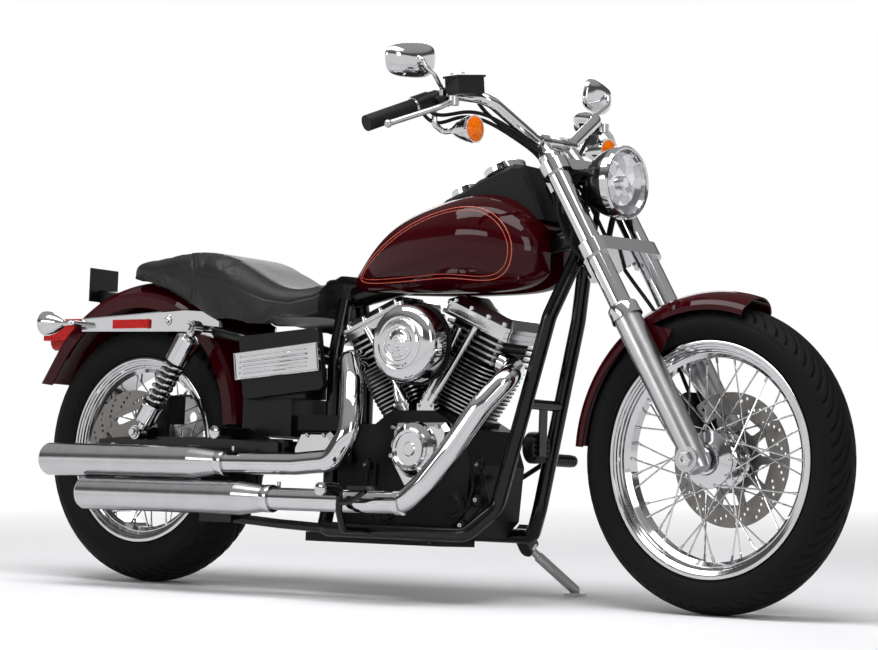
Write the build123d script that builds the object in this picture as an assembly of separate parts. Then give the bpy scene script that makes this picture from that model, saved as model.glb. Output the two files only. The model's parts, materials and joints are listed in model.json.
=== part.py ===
from build123d import *
import math
import os

# A cruiser motorcycle with a V-twin engine, in millimetres and degrees.
# It is modelled upright: +X forward, +Y to its left, +Z up, with Y = 0 in its middle plane, Z = 0 at
# the ground and X = 0 midway between the axles. At the end the fork turns to its rest angle, the
# whole machine leans onto its side stand, and the origin goes to the bottom centre of its box.

# --- stance ---
WHEELBASE = 1630
RAKE = 31
LEAN = 3.5
STEER_REST = 3.4

# --- wheels ---
FRONT_TYRE_RADIUS = 331
FRONT_TYRE_HALF = 52
FRONT_SHOULDER_HALF = 44
FRONT_CROWN_DROP = 20
FRONT_FLANGE_RADIUS = 255
FRONT_FLANGE_HALF = 39
REAR_TYRE_RADIUS = 328
REAR_TYRE_HALF = 80
REAR_SHOULDER_HALF = 68
REAR_CROWN_DROP = 27
REAR_FLANGE_RADIUS = 231
REAR_FLANGE_HALF = 62
RIM_WALL = 5
FLANGE_HEIGHT = 10
RIM_WELL_DEPTH = 22
TYRE_FIT = 0.4
SPOKE_COUNT = 40
SPOKE_RADIUS = 2.4
SPOKE_LACING = 54
HUB_FLANGE_RADIUS = 61
HUB_FLANGE_HALF = 33
FRONT_HUB_HALF = 51.2
REAR_HUB_HALF = 88
AXLE_RADIUS = 12.5
AXLE_CLEARANCE = 0.4
DISC_RADIUS = 146
DISC_BAND = 42
DISC_THICKNESS = 5
DISC_FIT = 0.3
FRONT_DISC_Y = FRONT_HUB_HALF + DISC_FIT + DISC_THICKNESS / 2
PULLEY_RADIUS = 140
PULLEY_WIDTH = 24
PULLEY_CLEARANCE = 5
BELT_WIDTH = 22
BELT_THICKNESS = 6
DRIVE_PULLEY_RADIUS = 66

# --- fork and bars ---
FORK_OFFSET = 66
AXLE_SETBACK = 7
FORK_HALF_SPREAD = 94
FORK_TUBE_RADIUS = 24.5
SLIDER_RADIUS = 30.5
SLIDER_TOP = 350
DUST_COVER_RADIUS = 34
DUST_COVER_HEIGHT = 28
FORK_TOP = 772
SLIDE_CLEARANCE = 0.3
LOWER_CLAMP = (505, 540)
UPPER_CLAMP = (722, 752)
STEM_RADIUS = 16
NECK_RADIUS = 31
NECK_GAP = 6
BEARING_CLEARANCE = 0.5
BAR_RADIUS = 14
GRIP_RADIUS = 18
GRIP_FIT = 0.3
RISER_HALF_SPREAD = 48
RISER_RADIUS = 17
HEADLAMP_CENTRE = (WHEELBASE / 2 - 243, 0, 938)
HEADLAMP_RADIUS = 82
BEZEL_WIDTH = 20
BUCKET_DEPTH = 96
SIGNAL_CENTRE = (WHEELBASE / 2 - 480, 249, 1046)
SIGNAL_RADIUS = 31
SIGNAL_LENGTH = 66
MIRROR_CENTRE = (WHEELBASE / 2 - 584, 345, 1194)
MIRROR_HALF_WIDTH = 68
MIRROR_HALF_HEIGHT = 42
FRONT_FENDER_RADIUS = 361
FRONT_FENDER_HALF = 57
FRONT_FENDER_SPAN = (73, 176)
FENDER_SHEET = 4

# --- frame ---
FRAME_TUBE = 17
BACKBONE_RADIUS = 26
BACKBONE = ((WHEELBASE / 2 - 385, 0, 822), (-190, 0, 700))
DOWNTUBE_HALF_SPREAD = 70
DOWNTUBE_HEAD_Z = 640
DOWNTUBE_FOOT = (300, 212)
CROSS_BAR_Z = 446
RAIL_HALF_SPREAD = 130
RAIL_Z = 150
DOWNTUBE_HEAD_X = BACKBONE[0][0] - 24
DOWNTUBE_SLOPE = (DOWNTUBE_HEAD_X - DOWNTUBE_FOOT[0]) / (DOWNTUBE_HEAD_Z - DOWNTUBE_FOOT[1])
CROSS_BAR_X = DOWNTUBE_FOOT[0] + DOWNTUBE_SLOPE * (CROSS_BAR_Z - DOWNTUBE_FOOT[1])
PIVOT = (-300, 0, 330)
SWING_ARM_HALF = 130
SWING_ARM_WIDTH = 34
BELT_Y = SWING_ARM_HALF - SWING_ARM_WIDTH / 2 - PULLEY_CLEARANCE - PULLEY_WIDTH / 2
REAR_DISC_Y = 40 - SWING_ARM_HALF
SHOCK_Y = 172
SHOCK_TOP = (263 - WHEELBASE / 2, 620)
SHOCK_BOTTOM = (95 - WHEELBASE / 2, 366)
SHOCK_BODY_RADIUS = 26
SPRING_RADIUS = 27
SPRING_TURNS = 7

# --- engine ---
CRANK = (70, 277)
CYLINDER_ANGLE = 22.5
CASE_HALF = 105
CASE_TOP = 150
BARREL_BASE = 165
BARREL_TOP = 370
HEAD_BASE = 304
FIN_COUNT = 13
HEAD_FIN_COUNT = 4
FIN_THICKNESS = 3
FIN_BASE_HALF = 68
FIN_TOP_HALF = 88
FIN_SIDE_HALF = 76
HEAD_FIN_THICKNESS = 5
BARREL_CORE_RADIUS = 58
ROCKER_LENGTH = 200
ROCKER_HALF = 80
ROCKER_HEIGHT = 50
ROCKER_CORNER = 12
PORT_HEIGHT = 312
MANIFOLD_RADIUS = 20
GEARBOX_COVER_X = -202
GEARBOX_COVER_TOP = 378
CAM_COVER_Y = -155
PRIMARY_Y = (BELT_Y + BELT_WIDTH / 2 + 11, BELT_Y + BELT_WIDTH / 2 + 69)
CLUTCH = (-165, 297)
AIR_CLEANER_CENTRE = (102, 574)
AIR_CLEANER_RADIUS = 90
AIR_CLEANER_FACE_Y = -208
AIR_CLEANER_DEPTH = 62

# --- exhaust ---
HEADER_RADIUS = 26
MUFFLER_RADIUS = 40
MUFFLER_Y = -222
UPPER_MUFFLER = (-972, -480, 295.5)
LOWER_MUFFLER = (-844, -335, 215.2)
MUFFLER_CONE = 92

# --- bodywork ---
REAR_FENDER_CENTRE = (2 - WHEELBASE / 2, 380)
REAR_FENDER_RADIUS = 372
REAR_FENDER_HALF = 98
REAR_FENDER_TAIL = 146
REAR_FENDER_TAIL_LENGTH = 112
BATTERY_BOX_Y = -156
BATTERY_COVER_DEPTH = 18
SEAT_HALF = 150
TANK_HALF = 148
TANK_FIT = 0.4

HORN_X = CROSS_BAR_X - 29
HORN_DEPTH = 27
RIDER_PEG = (-8, 262, 240)
RIDER_PEG_LENGTH = 72
PEG_RADIUS = 15
PASSENGER_PEG = (-400, 366)
PASSENGER_PEG_LENGTH = 104
SHIFT_PEG = (222, 330, 330)

# --- side stand ---
STAND_PIVOT = (215, 168, 126)
STAND_FOLDED = (-1, 0.05, -0.02)
STAND_RING_RADIUS = 16
STAND_RING_HALF = 9.5
STAND_PIN_RADIUS = 7
STAND_FOOT = (285, 262)
STAND_LEG_RADIUS = 12
STAND_FOOT_RADIUS = 26
STAND_FOOT_THICKNESS = 7

FRONT_AXLE = Vector(WHEELBASE / 2, 0, FRONT_TYRE_RADIUS)
REAR_AXLE = Vector(-WHEELBASE / 2, 0, REAR_TYRE_RADIUS)
FORK_UP = Vector(-math.sin(math.radians(RAKE)), 0, math.cos(math.radians(RAKE)))
FORK_AHEAD = Vector(math.cos(math.radians(RAKE)), 0, math.sin(math.radians(RAKE)))
SIDES = (-1, 1)


# --- shaping helpers ---
def fork_point(up, ahead, y=0):
    """A point by its height along the fork tubes from the axle, and its distance ahead of them."""
    return FRONT_AXLE + FORK_UP * up + FORK_AHEAD * (AXLE_SETBACK + ahead) + Vector(0, y, 0)


def steering_point(up):
    """A point on the steering axis, level with a height along the fork tubes."""
    return fork_point(up, -FORK_OFFSET)


def rod(start, end, radius):
    """A round bar between two points."""
    start, end = Vector(*start), Vector(*end)
    return extrude(Plane(origin=start, z_dir=end - start) * Circle(radius), amount=(end - start).length)


def box(x, y, z):
    """A block given by its range along each axis."""
    centre = Location(((x[0] + x[1]) / 2, (y[0] + y[1]) / 2, (z[0] + z[1]) / 2))
    return centre * Box(x[1] - x[0], y[1] - y[0], z[1] - z[0])


def side_plate(outline, y_near, y_far):
    """A plate whose outline is given in X and Z, between two values of Y."""
    high, low = max(y_near, y_far), min(y_near, y_far)
    plane = Plane(origin=(0, high, 0), x_dir=(1, 0, 0), z_dir=(0, -1, 0))
    return extrude(plane * make_face(Polyline(*outline, close=True)), amount=high - low)


def pipe(points, radius, bends):
    """A round bar along straight runs joined by arcs."""
    path = FilletPolyline(*points, radius=bends) if len(points) > 2 else Line(*points)
    return sweep(Plane(origin=path @ 0, z_dir=path % 0) * Circle(radius), path=path)


def turned(outline):
    """A solid of revolution about Z from an outline in radius and height."""
    return revolve(Plane.XZ * make_face(Polyline(*outline, close=True)), Axis.Z)


def on_axle(shape, centre):
    """A shape made about Z, put with its axis across the machine."""
    return Location(tuple(centre)) * Rot(X=-90) * shape


def facing(shape, origin, direction):
    """A shape made about Z, put at a point and turned along a direction."""
    return Plane(origin=Vector(*origin), z_dir=Vector(*direction)).location * shape


def mirrored(points):
    """The same points on the other side of the middle plane."""
    return [(x, -y, z) for x, y, z in points]


# --- wheels ---
def tyre(radius, half, shoulder_half, crown_drop, flange_radius, flange_half):
    bead_half = flange_half - RIM_WALL - TYRE_FIT
    bead_radius = flange_radius - FLANGE_HEIGHT + TYRE_FIT
    shoulder = radius - crown_drop
    wall = bead_radius + 0.5 * (shoulder - bead_radius)
    outline = Curve() + [
        ThreePointArc((shoulder, -shoulder_half), (radius, 0), (shoulder, shoulder_half)),
        ThreePointArc((shoulder, shoulder_half), (wall, half), (flange_radius + 1, bead_half)),
        Polyline((flange_radius + 1, bead_half), (bead_radius, bead_half),
                 (bead_radius, -bead_half), (flange_radius + 1, -bead_half)),
        ThreePointArc((flange_radius + 1, -bead_half), (wall, -half), (shoulder, -shoulder_half)),
    ]
    return revolve(Plane.XZ * make_face(outline), Axis.Z)


def rim(flange_radius, flange_half):
    seat = flange_radius - FLANGE_HEIGHT
    well = seat - RIM_WELL_DEPTH
    outer = [(flange_radius, flange_half), (flange_radius, flange_half - RIM_WALL),
             (seat, flange_half - RIM_WALL), (seat, flange_half - 15), (well, flange_half - 26)]
    inner = [(well - RIM_WALL, flange_half - 26), (seat - RIM_WALL, flange_half - 13),
             (seat - RIM_WALL, flange_half)]
    right = outer + [(radius, -y) for radius, y in reversed(outer)]
    left = [(radius, -y) for radius, y in reversed(inner)] + inner
    return turned(right + left)


def hub(half_length, barrel_radius, end_radius):
    bore = AXLE_RADIUS + AXLE_CLEARANCE
    outer = [(bore, half_length), (end_radius, half_length), (end_radius + 4, HUB_FLANGE_HALF + 5),
             (HUB_FLANGE_RADIUS, HUB_FLANGE_HALF + 3), (HUB_FLANGE_RADIUS, HUB_FLANGE_HALF - 3),
             (barrel_radius, HUB_FLANGE_HALF - 9)]
    return turned(outer + [(radius, -y) for radius, y in reversed(outer)])


def spokes(flange_radius, flange_half):
    """Laced in crossed pairs, from the hub flanges to the well of the rim."""
    rim_radius = flange_radius - FLANGE_HEIGHT - RIM_WELL_DEPTH - RIM_WALL / 2
    hub_radius = HUB_FLANGE_RADIUS - 5
    rods = []
    for index in range(SPOKE_COUNT):
        side = SIDES[index % 2]
        lead = SIDES[index // 2 % 2]
        at_rim = math.radians(360 / SPOKE_COUNT * index)
        at_hub = at_rim + math.radians(lead * SPOKE_LACING)
        start = Vector(hub_radius * math.cos(at_hub), hub_radius * math.sin(at_hub),
                       side * (HUB_FLANGE_HALF + lead))
        end = Vector(rim_radius * math.cos(at_rim), rim_radius * math.sin(at_rim),
                     side * (flange_half - 26) * 0.6)
        section = Plane(origin=start, z_dir=end - start) * RegularPolygon(SPOKE_RADIUS, 5)
        rods.append(extrude(section, amount=(end - start).length))
    return rods


def wire_wheel(flange_radius, flange_half, hub_half, barrel_radius, end_radius):
    wheel = rim(flange_radius, flange_half) + hub(hub_half, barrel_radius, end_radius)
    return wheel + spokes(flange_radius, flange_half)


def brake_disc(bore, windows, arm_half):
    """A braking band on the arms of a flat carrier."""
    band = Circle(DISC_RADIUS) - Circle(DISC_RADIUS - DISC_BAND)
    carrier = Circle(HUB_FLANGE_RADIUS + 6)
    arms = [Rot(Z=360 / windows * i) * Pos((DISC_RADIUS - 10) / 2, 0)
            * Rectangle(DISC_RADIUS - 50, 2 * arm_half)
            for i in range(windows)]
    sheet = band + carrier + arms - Circle(bore)
    return Pos(0, 0, -DISC_THICKNESS / 2) * extrude(sheet, amount=DISC_THICKNESS)


def front_wheel_parts():
    return {
        "front_tyre": on_axle(tyre(FRONT_TYRE_RADIUS, FRONT_TYRE_HALF, FRONT_SHOULDER_HALF, FRONT_CROWN_DROP,
                                   FRONT_FLANGE_RADIUS, FRONT_FLANGE_HALF), FRONT_AXLE),
        "front_wire_wheel": on_axle(wire_wheel(FRONT_FLANGE_RADIUS, FRONT_FLANGE_HALF, FRONT_HUB_HALF, 26,
                                               32),
                                    FRONT_AXLE),
        "front_brake_disc": on_axle(brake_disc(26, 10, 8), FRONT_AXLE + Vector(0, FRONT_DISC_Y, 0)),
    }


def rear_wheel_parts():
    bore = 34
    pulley = turned([(bore, -PULLEY_WIDTH / 2), (PULLEY_RADIUS, -PULLEY_WIDTH / 2),
                     (PULLEY_RADIUS, PULLEY_WIDTH / 2), (PULLEY_RADIUS - 10, PULLEY_WIDTH / 2),
                     (PULLEY_RADIUS - 14, 0), (70, 0), (66, PULLEY_WIDTH / 2), (bore, PULLEY_WIDTH / 2)])
    return {
        "rear_tyre": on_axle(tyre(REAR_TYRE_RADIUS, REAR_TYRE_HALF, REAR_SHOULDER_HALF, REAR_CROWN_DROP,
                                  REAR_FLANGE_RADIUS, REAR_FLANGE_HALF), REAR_AXLE),
        "rear_wire_wheel": on_axle(wire_wheel(REAR_FLANGE_RADIUS, REAR_FLANGE_HALF, REAR_HUB_HALF, 30, 33),
                                   REAR_AXLE),
        "rear_brake_disc": on_axle(brake_disc(33.4, 5, 10), REAR_AXLE + Vector(0, REAR_DISC_Y, 0)),
        "rear_belt_pulley": on_axle(pulley, REAR_AXLE + Vector(0, BELT_Y, 0)),
    }


# --- fork ---
def fork_slider(side):
    y = side * FORK_HALF_SPREAD
    outline = [(0, -30), (22, -30), (27, 10), (29, 120), (SLIDER_RADIUS, 250), (SLIDER_RADIUS, SLIDER_TOP),
               (DUST_COVER_RADIUS, SLIDER_TOP), (DUST_COVER_RADIUS, SLIDER_TOP + DUST_COVER_HEIGHT - 5),
               (DUST_COVER_RADIUS - 4, SLIDER_TOP + DUST_COVER_HEIGHT), (0, SLIDER_TOP + DUST_COVER_HEIGHT)]
    body = facing(turned(outline), fork_point(0, 0, y), FORK_UP)
    boss = rod(FRONT_AXLE + Vector(0, y - side * 29, 0), FRONT_AXLE + Vector(0, y + side * 26, 0), 27)
    bore = rod(fork_point(SLIDER_TOP - 100, 0, y), fork_point(SLIDER_TOP + 60, 0, y),
               FORK_TUBE_RADIUS + SLIDE_CLEARANCE)
    eye = rod(FRONT_AXLE + Vector(0, y - 40, 0), FRONT_AXLE + Vector(0, y + 40, 0), AXLE_RADIUS + 0.2)
    lug_inner = FRONT_FENDER_HALF + FENDER_SHEET + 0.3
    lug = rod(fork_point(262, -12, side * lug_inner), fork_point(262, -12, side * (FORK_HALF_SPREAD - 20)),
              11)
    return body + boss + lug - bore - eye


def fork_clamp(reach, heights):
    """Both tubes' bores and the stem in one forged plate, waisted between them."""
    plane = Plane(origin=fork_point(heights[0], 0), x_dir=(0, 1, 0), z_dir=FORK_UP)
    ring = [Pos(side * FORK_HALF_SPREAD, 0) * Circle(FORK_TUBE_RADIUS + 9) for side in SIDES]
    web = Pos(0, reach / 2) * Rectangle(2 * FORK_HALF_SPREAD, abs(reach) * 0.45 + 24)
    stem = Pos(0, FORK_OFFSET) * Circle(STEM_RADIUS + 14)
    neck = Pos(0, FORK_OFFSET / 2) * Rectangle(90, FORK_OFFSET)
    holes = [Pos(side * FORK_HALF_SPREAD, 0) * Circle(FORK_TUBE_RADIUS + 0.2) for side in SIDES]
    sheet = Sketch() + ring + web + stem + neck - holes
    return extrude(plane * sheet, amount=heights[1] - heights[0])


def triple_clamps():
    lower = fork_clamp(-30, LOWER_CLAMP)
    upper = fork_clamp(-20, UPPER_CLAMP)
    stem = rod(steering_point(LOWER_CLAMP[0]), steering_point(UPPER_CLAMP[1] + 14), STEM_RADIUS)
    return lower + upper + stem


UPPER_CLAMP_FRONT = 26.5

# Half of the bar's centre line, from the middle to the left end, and the radii of its bends.
BAR_X = WHEELBASE / 2 - 453
BAR_HALF = [(BAR_X, 0, 1033), (BAR_X, 62, 1036), (BAR_X - 27, 205, 1118), (BAR_X - 109, 233, 1132),
            (BAR_X - 172, 434, 1050)]
BAR_BENDS = [40, 44, 44]
GRIP_LENGTH = 124
GRIP_END = 8


def on_side(point, side):
    """A point given for the left side, on either side."""
    return Vector(point[0], side * point[1], point[2])


def bar_point(side, from_end, ahead=0, above=0):
    """A point along the straight end of the bar, measured inwards from its tip."""
    tip, bend = on_side(BAR_HALF[-1], side), on_side(BAR_HALF[-2], side)
    inwards = (bend - tip).normalized()
    return tip + inwards * from_end + Vector(ahead, 0, above)


def bent_bar(radius):
    path = mirrored(reversed(BAR_HALF[1:])) + BAR_HALF[1:]
    return pipe(path, radius, list(reversed(BAR_BENDS)) + BAR_BENDS)


def handlebar():
    bar = bent_bar(BAR_RADIUS)
    for side in SIDES:
        head = on_side((BAR_HALF[0][0], RISER_HALF_SPREAD, BAR_HALF[0][2]), side)
        foot = fork_point(UPPER_CLAMP[1], -20, side * RISER_HALF_SPREAD)
        riser = rod(fork_point(UPPER_CLAMP[1] + 8, -20, side * RISER_HALF_SPREAD), head, RISER_RADIUS)
        base = rod(foot, foot + FORK_UP * 12, RISER_RADIUS + 4)
        bar = bar + riser + base + rod(head - Vector(0, 15, 0), head + Vector(0, 15, 0), BAR_RADIUS + 9)
    return bar


def grip(side):
    sleeve = rod(bar_point(side, GRIP_LENGTH), bar_point(side, -GRIP_END), GRIP_RADIUS)
    return sleeve - rod(bar_point(side, GRIP_LENGTH + 5), bar_point(side, 0), BAR_RADIUS + GRIP_FIT)


def switch_housing(side):
    """Clamped on the bar inside the grip, with the lever's perch ahead of it."""
    housing = rod(bar_point(side, GRIP_LENGTH + 1), bar_point(side, GRIP_LENGTH + 37), 23)
    collar = rod(bar_point(side, GRIP_LENGTH + 37), bar_point(side, GRIP_LENGTH + 62), 20)
    arm = rod(bar_point(side, GRIP_LENGTH + 50), bar_point(side, GRIP_LENGTH + 50, 46, -6), 12)
    clamp = housing + collar + arm
    if side < 0:
        place = Location(tuple(bar_point(side, GRIP_LENGTH + 79, 62, 18.5))) * Rot(X=6, Z=-12)
        neck = rod(bar_point(side, GRIP_LENGTH + 71, 0, 4), bar_point(side, GRIP_LENGTH + 79, 45, 16), 13)
        clamp += place * Box(48, 72, 38) + place * Pos(0, 0, 20) * Box(54, 78, 5) + neck
    return clamp - bent_bar(BAR_RADIUS + GRIP_FIT)


def lever(side):
    """A flat curved lever that runs ahead of the grip to a ball end."""
    pivot = bar_point(side, GRIP_LENGTH + 50, 46 + LEVER_GAP, -6)
    knee = bar_point(side, GRIP_LENGTH + 6, 66, -8)
    tip = bar_point(side, 6, 48, -8)
    blade = pipe([pivot, knee, tip], 6.5, 30)
    ball = Location(tuple(tip)) * Sphere(9)
    return blade + rod(pivot - Vector(0, 0, 10), pivot + Vector(0, 0, 10), 12) + ball


LEVER_GAP = 13.8


def mirror_outline(inset):
    """The head's outline: flat above, drawn in towards its inner end."""
    half, rise = MIRROR_HALF_WIDTH - inset, MIRROR_HALF_HEIGHT - inset * 0.8
    corners = [(-half, -rise * 0.55), (-half, rise * 0.8), (half, rise), (half * 0.8, -rise)]
    return fillet(make_face(Polyline(*corners, close=True)).vertices(), rise * 0.5)


def mirror(side):
    """A rounded head on a stem that rises from the perch."""
    head = mirror_outline(0)
    back = mirror_outline(20)
    shell = loft([head, Pos(0, 0, 24) * back])
    shell = Pos(0, 0, -8) * extrude(head, amount=8) + shell
    place = Plane(origin=on_side(MIRROR_CENTRE, side), x_dir=(0.12, -side, 0.1),
                  z_dir=(0.97, side * 0.2, -0.1))
    foot = bar_point(side, GRIP_LENGTH + 50, 26, 9.6)
    stem = pipe([foot, foot + Vector(0, 0, 24), on_side(MIRROR_CENTRE, side) + Vector(42, -side * 8, -12),
                 on_side(MIRROR_CENTRE, side) + Vector(16, 0, 0)], 5, [14, 14])
    return place.location * shell + stem


def mirror_glass(side):
    place = Plane(origin=on_side(MIRROR_CENTRE, side), x_dir=(0.12, -side, 0.1),
                  z_dir=(0.97, side * 0.2, -0.1))
    glass = Pos(0, 0, -10) * extrude(mirror_outline(4), amount=1.8)
    return place.location * glass


def bullet_lamp(centre, ahead, stem):
    """A bullet shell about a lamp axis, on a stem: the lens goes in its open end."""
    length = SIGNAL_LENGTH
    shell = revolve(Plane.XZ * make_face(Curve() + [
        Polyline((0, -length), (4, -length), (10, -length + 6)),
        ThreePointArc((10, -length + 6), (25, -length * 0.45), (SIGNAL_RADIUS, -6)),
        Polyline((SIGNAL_RADIUS, -6), (SIGNAL_RADIUS, 2), (SIGNAL_RADIUS - 3, 2), (SIGNAL_RADIUS - 3, -6),
                 (0, -6), (0, -length)),
    ]), Axis.Z)
    shell = facing(shell, centre, (ahead, 0, 0))
    root = Vector(*centre) - Vector(ahead * length * 0.5, 0, 0)
    return shell + pipe([root, *stem], 7, 10)


def domed(radius, low, rim, top):
    """A round lens from a flat back to a spherical cap."""
    rise = top - rim
    sphere = (radius * radius + rise * rise) / (2 * rise)
    half_angle = math.asin(radius / sphere) / 2
    middle = (sphere * math.sin(half_angle), top - sphere * (1 - math.cos(half_angle)))
    return revolve(Plane.XZ * make_face(Curve() + [
        Line((0, low), (radius, low)), Line((radius, low), (radius, rim)),
        ThreePointArc((radius, rim), middle, (0, top)), Line((0, top), (0, low)),
    ]), Axis.Z)


def bullet_lens(centre, ahead):
    return facing(domed(SIGNAL_RADIUS - 3.3, -5.7, 3, 10), centre, (ahead, 0, 0))


def headlamp_shell():
    back = -BUCKET_DEPTH
    shell = revolve(Plane.XZ * make_face(Curve() + [
        Line((0, back), (30, back)),
        ThreePointArc((30, back), (HEADLAMP_RADIUS - 16, back + 30), (HEADLAMP_RADIUS - 4, -BEZEL_WIDTH)),
        Line((HEADLAMP_RADIUS - 4, -BEZEL_WIDTH), (0, -BEZEL_WIDTH)), Line((0, -BEZEL_WIDTH), (0, back)),
    ]), Axis.Z)
    shell = facing(shell, HEADLAMP_CENTRE, (1, 0, 0))
    centre = Vector(*HEADLAMP_CENTRE)
    mount = rod(fork_point(UPPER_CLAMP[0] + 14, -10), centre + Vector(-50, 0, 10), 12)
    clamp = Plane(origin=fork_point(UPPER_CLAMP[0] - 40, UPPER_CLAMP_FRONT + 0.3 - 50), x_dir=(0, 1, 0),
                  z_dir=FORK_UP)
    return shell + (mount - extrude(clamp * Rectangle(300, 100), amount=120))


def headlamp_bezel():
    radius = HEADLAMP_RADIUS
    ring = turned([(radius - 9, -BEZEL_WIDTH), (radius, -BEZEL_WIDTH), (radius, -5), (radius - 4, 0),
                   (radius - 9, -2)])
    return facing(ring, HEADLAMP_CENTRE, (1, 0, 0))


def headlamp_lens():
    return facing(domed(HEADLAMP_RADIUS - 9.3, -BEZEL_WIDTH, -5, 7), HEADLAMP_CENTRE, (1, 0, 0))


def arch_section(radius, half, drop, skirt):
    """A rolled sheet across a wheel: crown, shoulders and skirts, in radius and half width."""
    crown = radius - drop
    inner = half - FENDER_SHEET
    return make_face(Curve() + [
        ThreePointArc((crown, -half + 6), (radius, 0), (crown, half - 6)),
        Polyline((crown, half - 6), (crown - 10, half), (skirt, half), (skirt, inner),
                 (crown - 12, inner), (crown - FENDER_SHEET, inner - 5)),
        ThreePointArc((crown - FENDER_SHEET, inner - 5), (radius - FENDER_SHEET, 0),
                      (crown - FENDER_SHEET, -inner + 5)),
        Polyline((crown - FENDER_SHEET, -inner + 5), (crown - 12, -inner), (skirt, -inner), (skirt, -half),
                 (crown - 10, -half), (crown, -half + 6)),
    ])


def arch(section, centre, span):
    """A section swept round an axle between two angles above the forward line."""
    swept = revolve(Plane.XZ * section, Axis.Z, revolution_arc=span[1] - span[0])
    return Location(tuple(centre)) * Rot(Y=-span[0]) * Rot(X=90) * swept


def front_fender():
    section = arch_section(FRONT_FENDER_RADIUS, FRONT_FENDER_HALF, 22, 318)
    fender = arch(section, FRONT_AXLE, FRONT_FENDER_SPAN)
    for side in SIDES:
        y = side * FRONT_FENDER_HALF
        at = fork_point(262, -12)
        stay = side_plate([(at.X - 28, at.Z + 74), (at.X + 60, at.Z + 54), (at.X + 16, at.Z - 16),
                           (at.X - 16, at.Z - 16)], y, y + side * 4)
        fender += stay
    return fender


def front_caliper():
    """Behind the left tube, straddling the disc with room to each side."""
    inner, outer = FRONT_DISC_Y - 16, FORK_HALF_SPREAD - 7.2
    plane = Plane(origin=fork_point(78, -58.8, (inner + outer) / 2), x_dir=(0, 1, 0), z_dir=FORK_UP)
    body = extrude(plane * RectangleRounded(outer - inner, 64, 8), amount=104)
    slot = on_axle(Pos(0, 0, -DISC_THICKNESS / 2 - 5) * extrude(Circle(DISC_RADIUS + 5),
                   amount=DISC_THICKNESS + 10), FRONT_AXLE + Vector(0, FRONT_DISC_Y, 0))
    return body - slot


def fork_parts():
    feet = {side: bar_point(side, GRIP_LENGTH + 56, 0, -25) for side in SIDES}
    lamp_stems = {side: [on_side(SIGNAL_CENTRE, side) - Vector(SIGNAL_LENGTH + 24, 0, 0),
                         feet[side] - Vector(0, 0, 30), feet[side]] for side in SIDES}
    centres = {side: tuple(on_side(SIGNAL_CENTRE, side)) for side in SIDES}
    return {
        "fork_sliders": [fork_slider(side) for side in SIDES],
        "fork_tubes": [rod(fork_point(SLIDER_TOP - 100, 0, side * FORK_HALF_SPREAD),
                           fork_point(FORK_TOP, 0, side * FORK_HALF_SPREAD), FORK_TUBE_RADIUS)
                       for side in SIDES],
        "front_axle": rod(FRONT_AXLE + Vector(0, -FORK_HALF_SPREAD - 24, 0),
                          FRONT_AXLE + Vector(0, FORK_HALF_SPREAD + 24, 0), AXLE_RADIUS),
        "triple_clamps": triple_clamps(),
        "handlebar": handlebar(),
        "handlebar_grips": [grip(side) for side in SIDES],
        "switch_housings": [switch_housing(side) for side in SIDES],
        "hand_levers": [lever(side) for side in SIDES],
        "mirrors": [mirror(side) for side in SIDES],
        "mirror_glasses": [mirror_glass(side) for side in SIDES],
        "front_signals": [bullet_lamp(centres[side], 1, lamp_stems[side]) for side in SIDES],
        "front_signal_lenses": [bullet_lens(centres[side], 1) for side in SIDES],
        "headlamp_shell": headlamp_shell(),
        "headlamp_bezel": headlamp_bezel(),
        "headlamp_lens": headlamp_lens(),
        "front_fender": front_fender(),
        "front_caliper": front_caliper(),
    }


# --- frame ---
UPRIGHT_X = -200
UPRIGHT_HALF = 62
SEAT_RAIL_RADIUS = 13


def muffler_hanger():
    """A bar back from the right lower rail to a plate against both mufflers' cones."""
    inner = MUFFLER_Y + MUFFLER_RADIUS + 0.3
    bar = pipe([(-120, -RAIL_HALF_SPREAD, RAIL_Z), (-290, -RAIL_HALF_SPREAD - 8, RAIL_Z + 8),
                (-424, -RAIL_HALF_SPREAD - 26, RAIL_Z + 18)], 11, 200)
    plate = box((-500, -400), (inner, inner + 8), (RAIL_Z + 6, LOWER_MUFFLER[2] + 20))
    plate += box((-500, -484), (inner, inner + 8), (LOWER_MUFFLER[2], UPPER_MUFFLER[2] + 10))
    return bar + plate + box((-440, -408), (inner, -RAIL_HALF_SPREAD - 20), (RAIL_Z + 10, RAIL_Z + 26))


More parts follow.
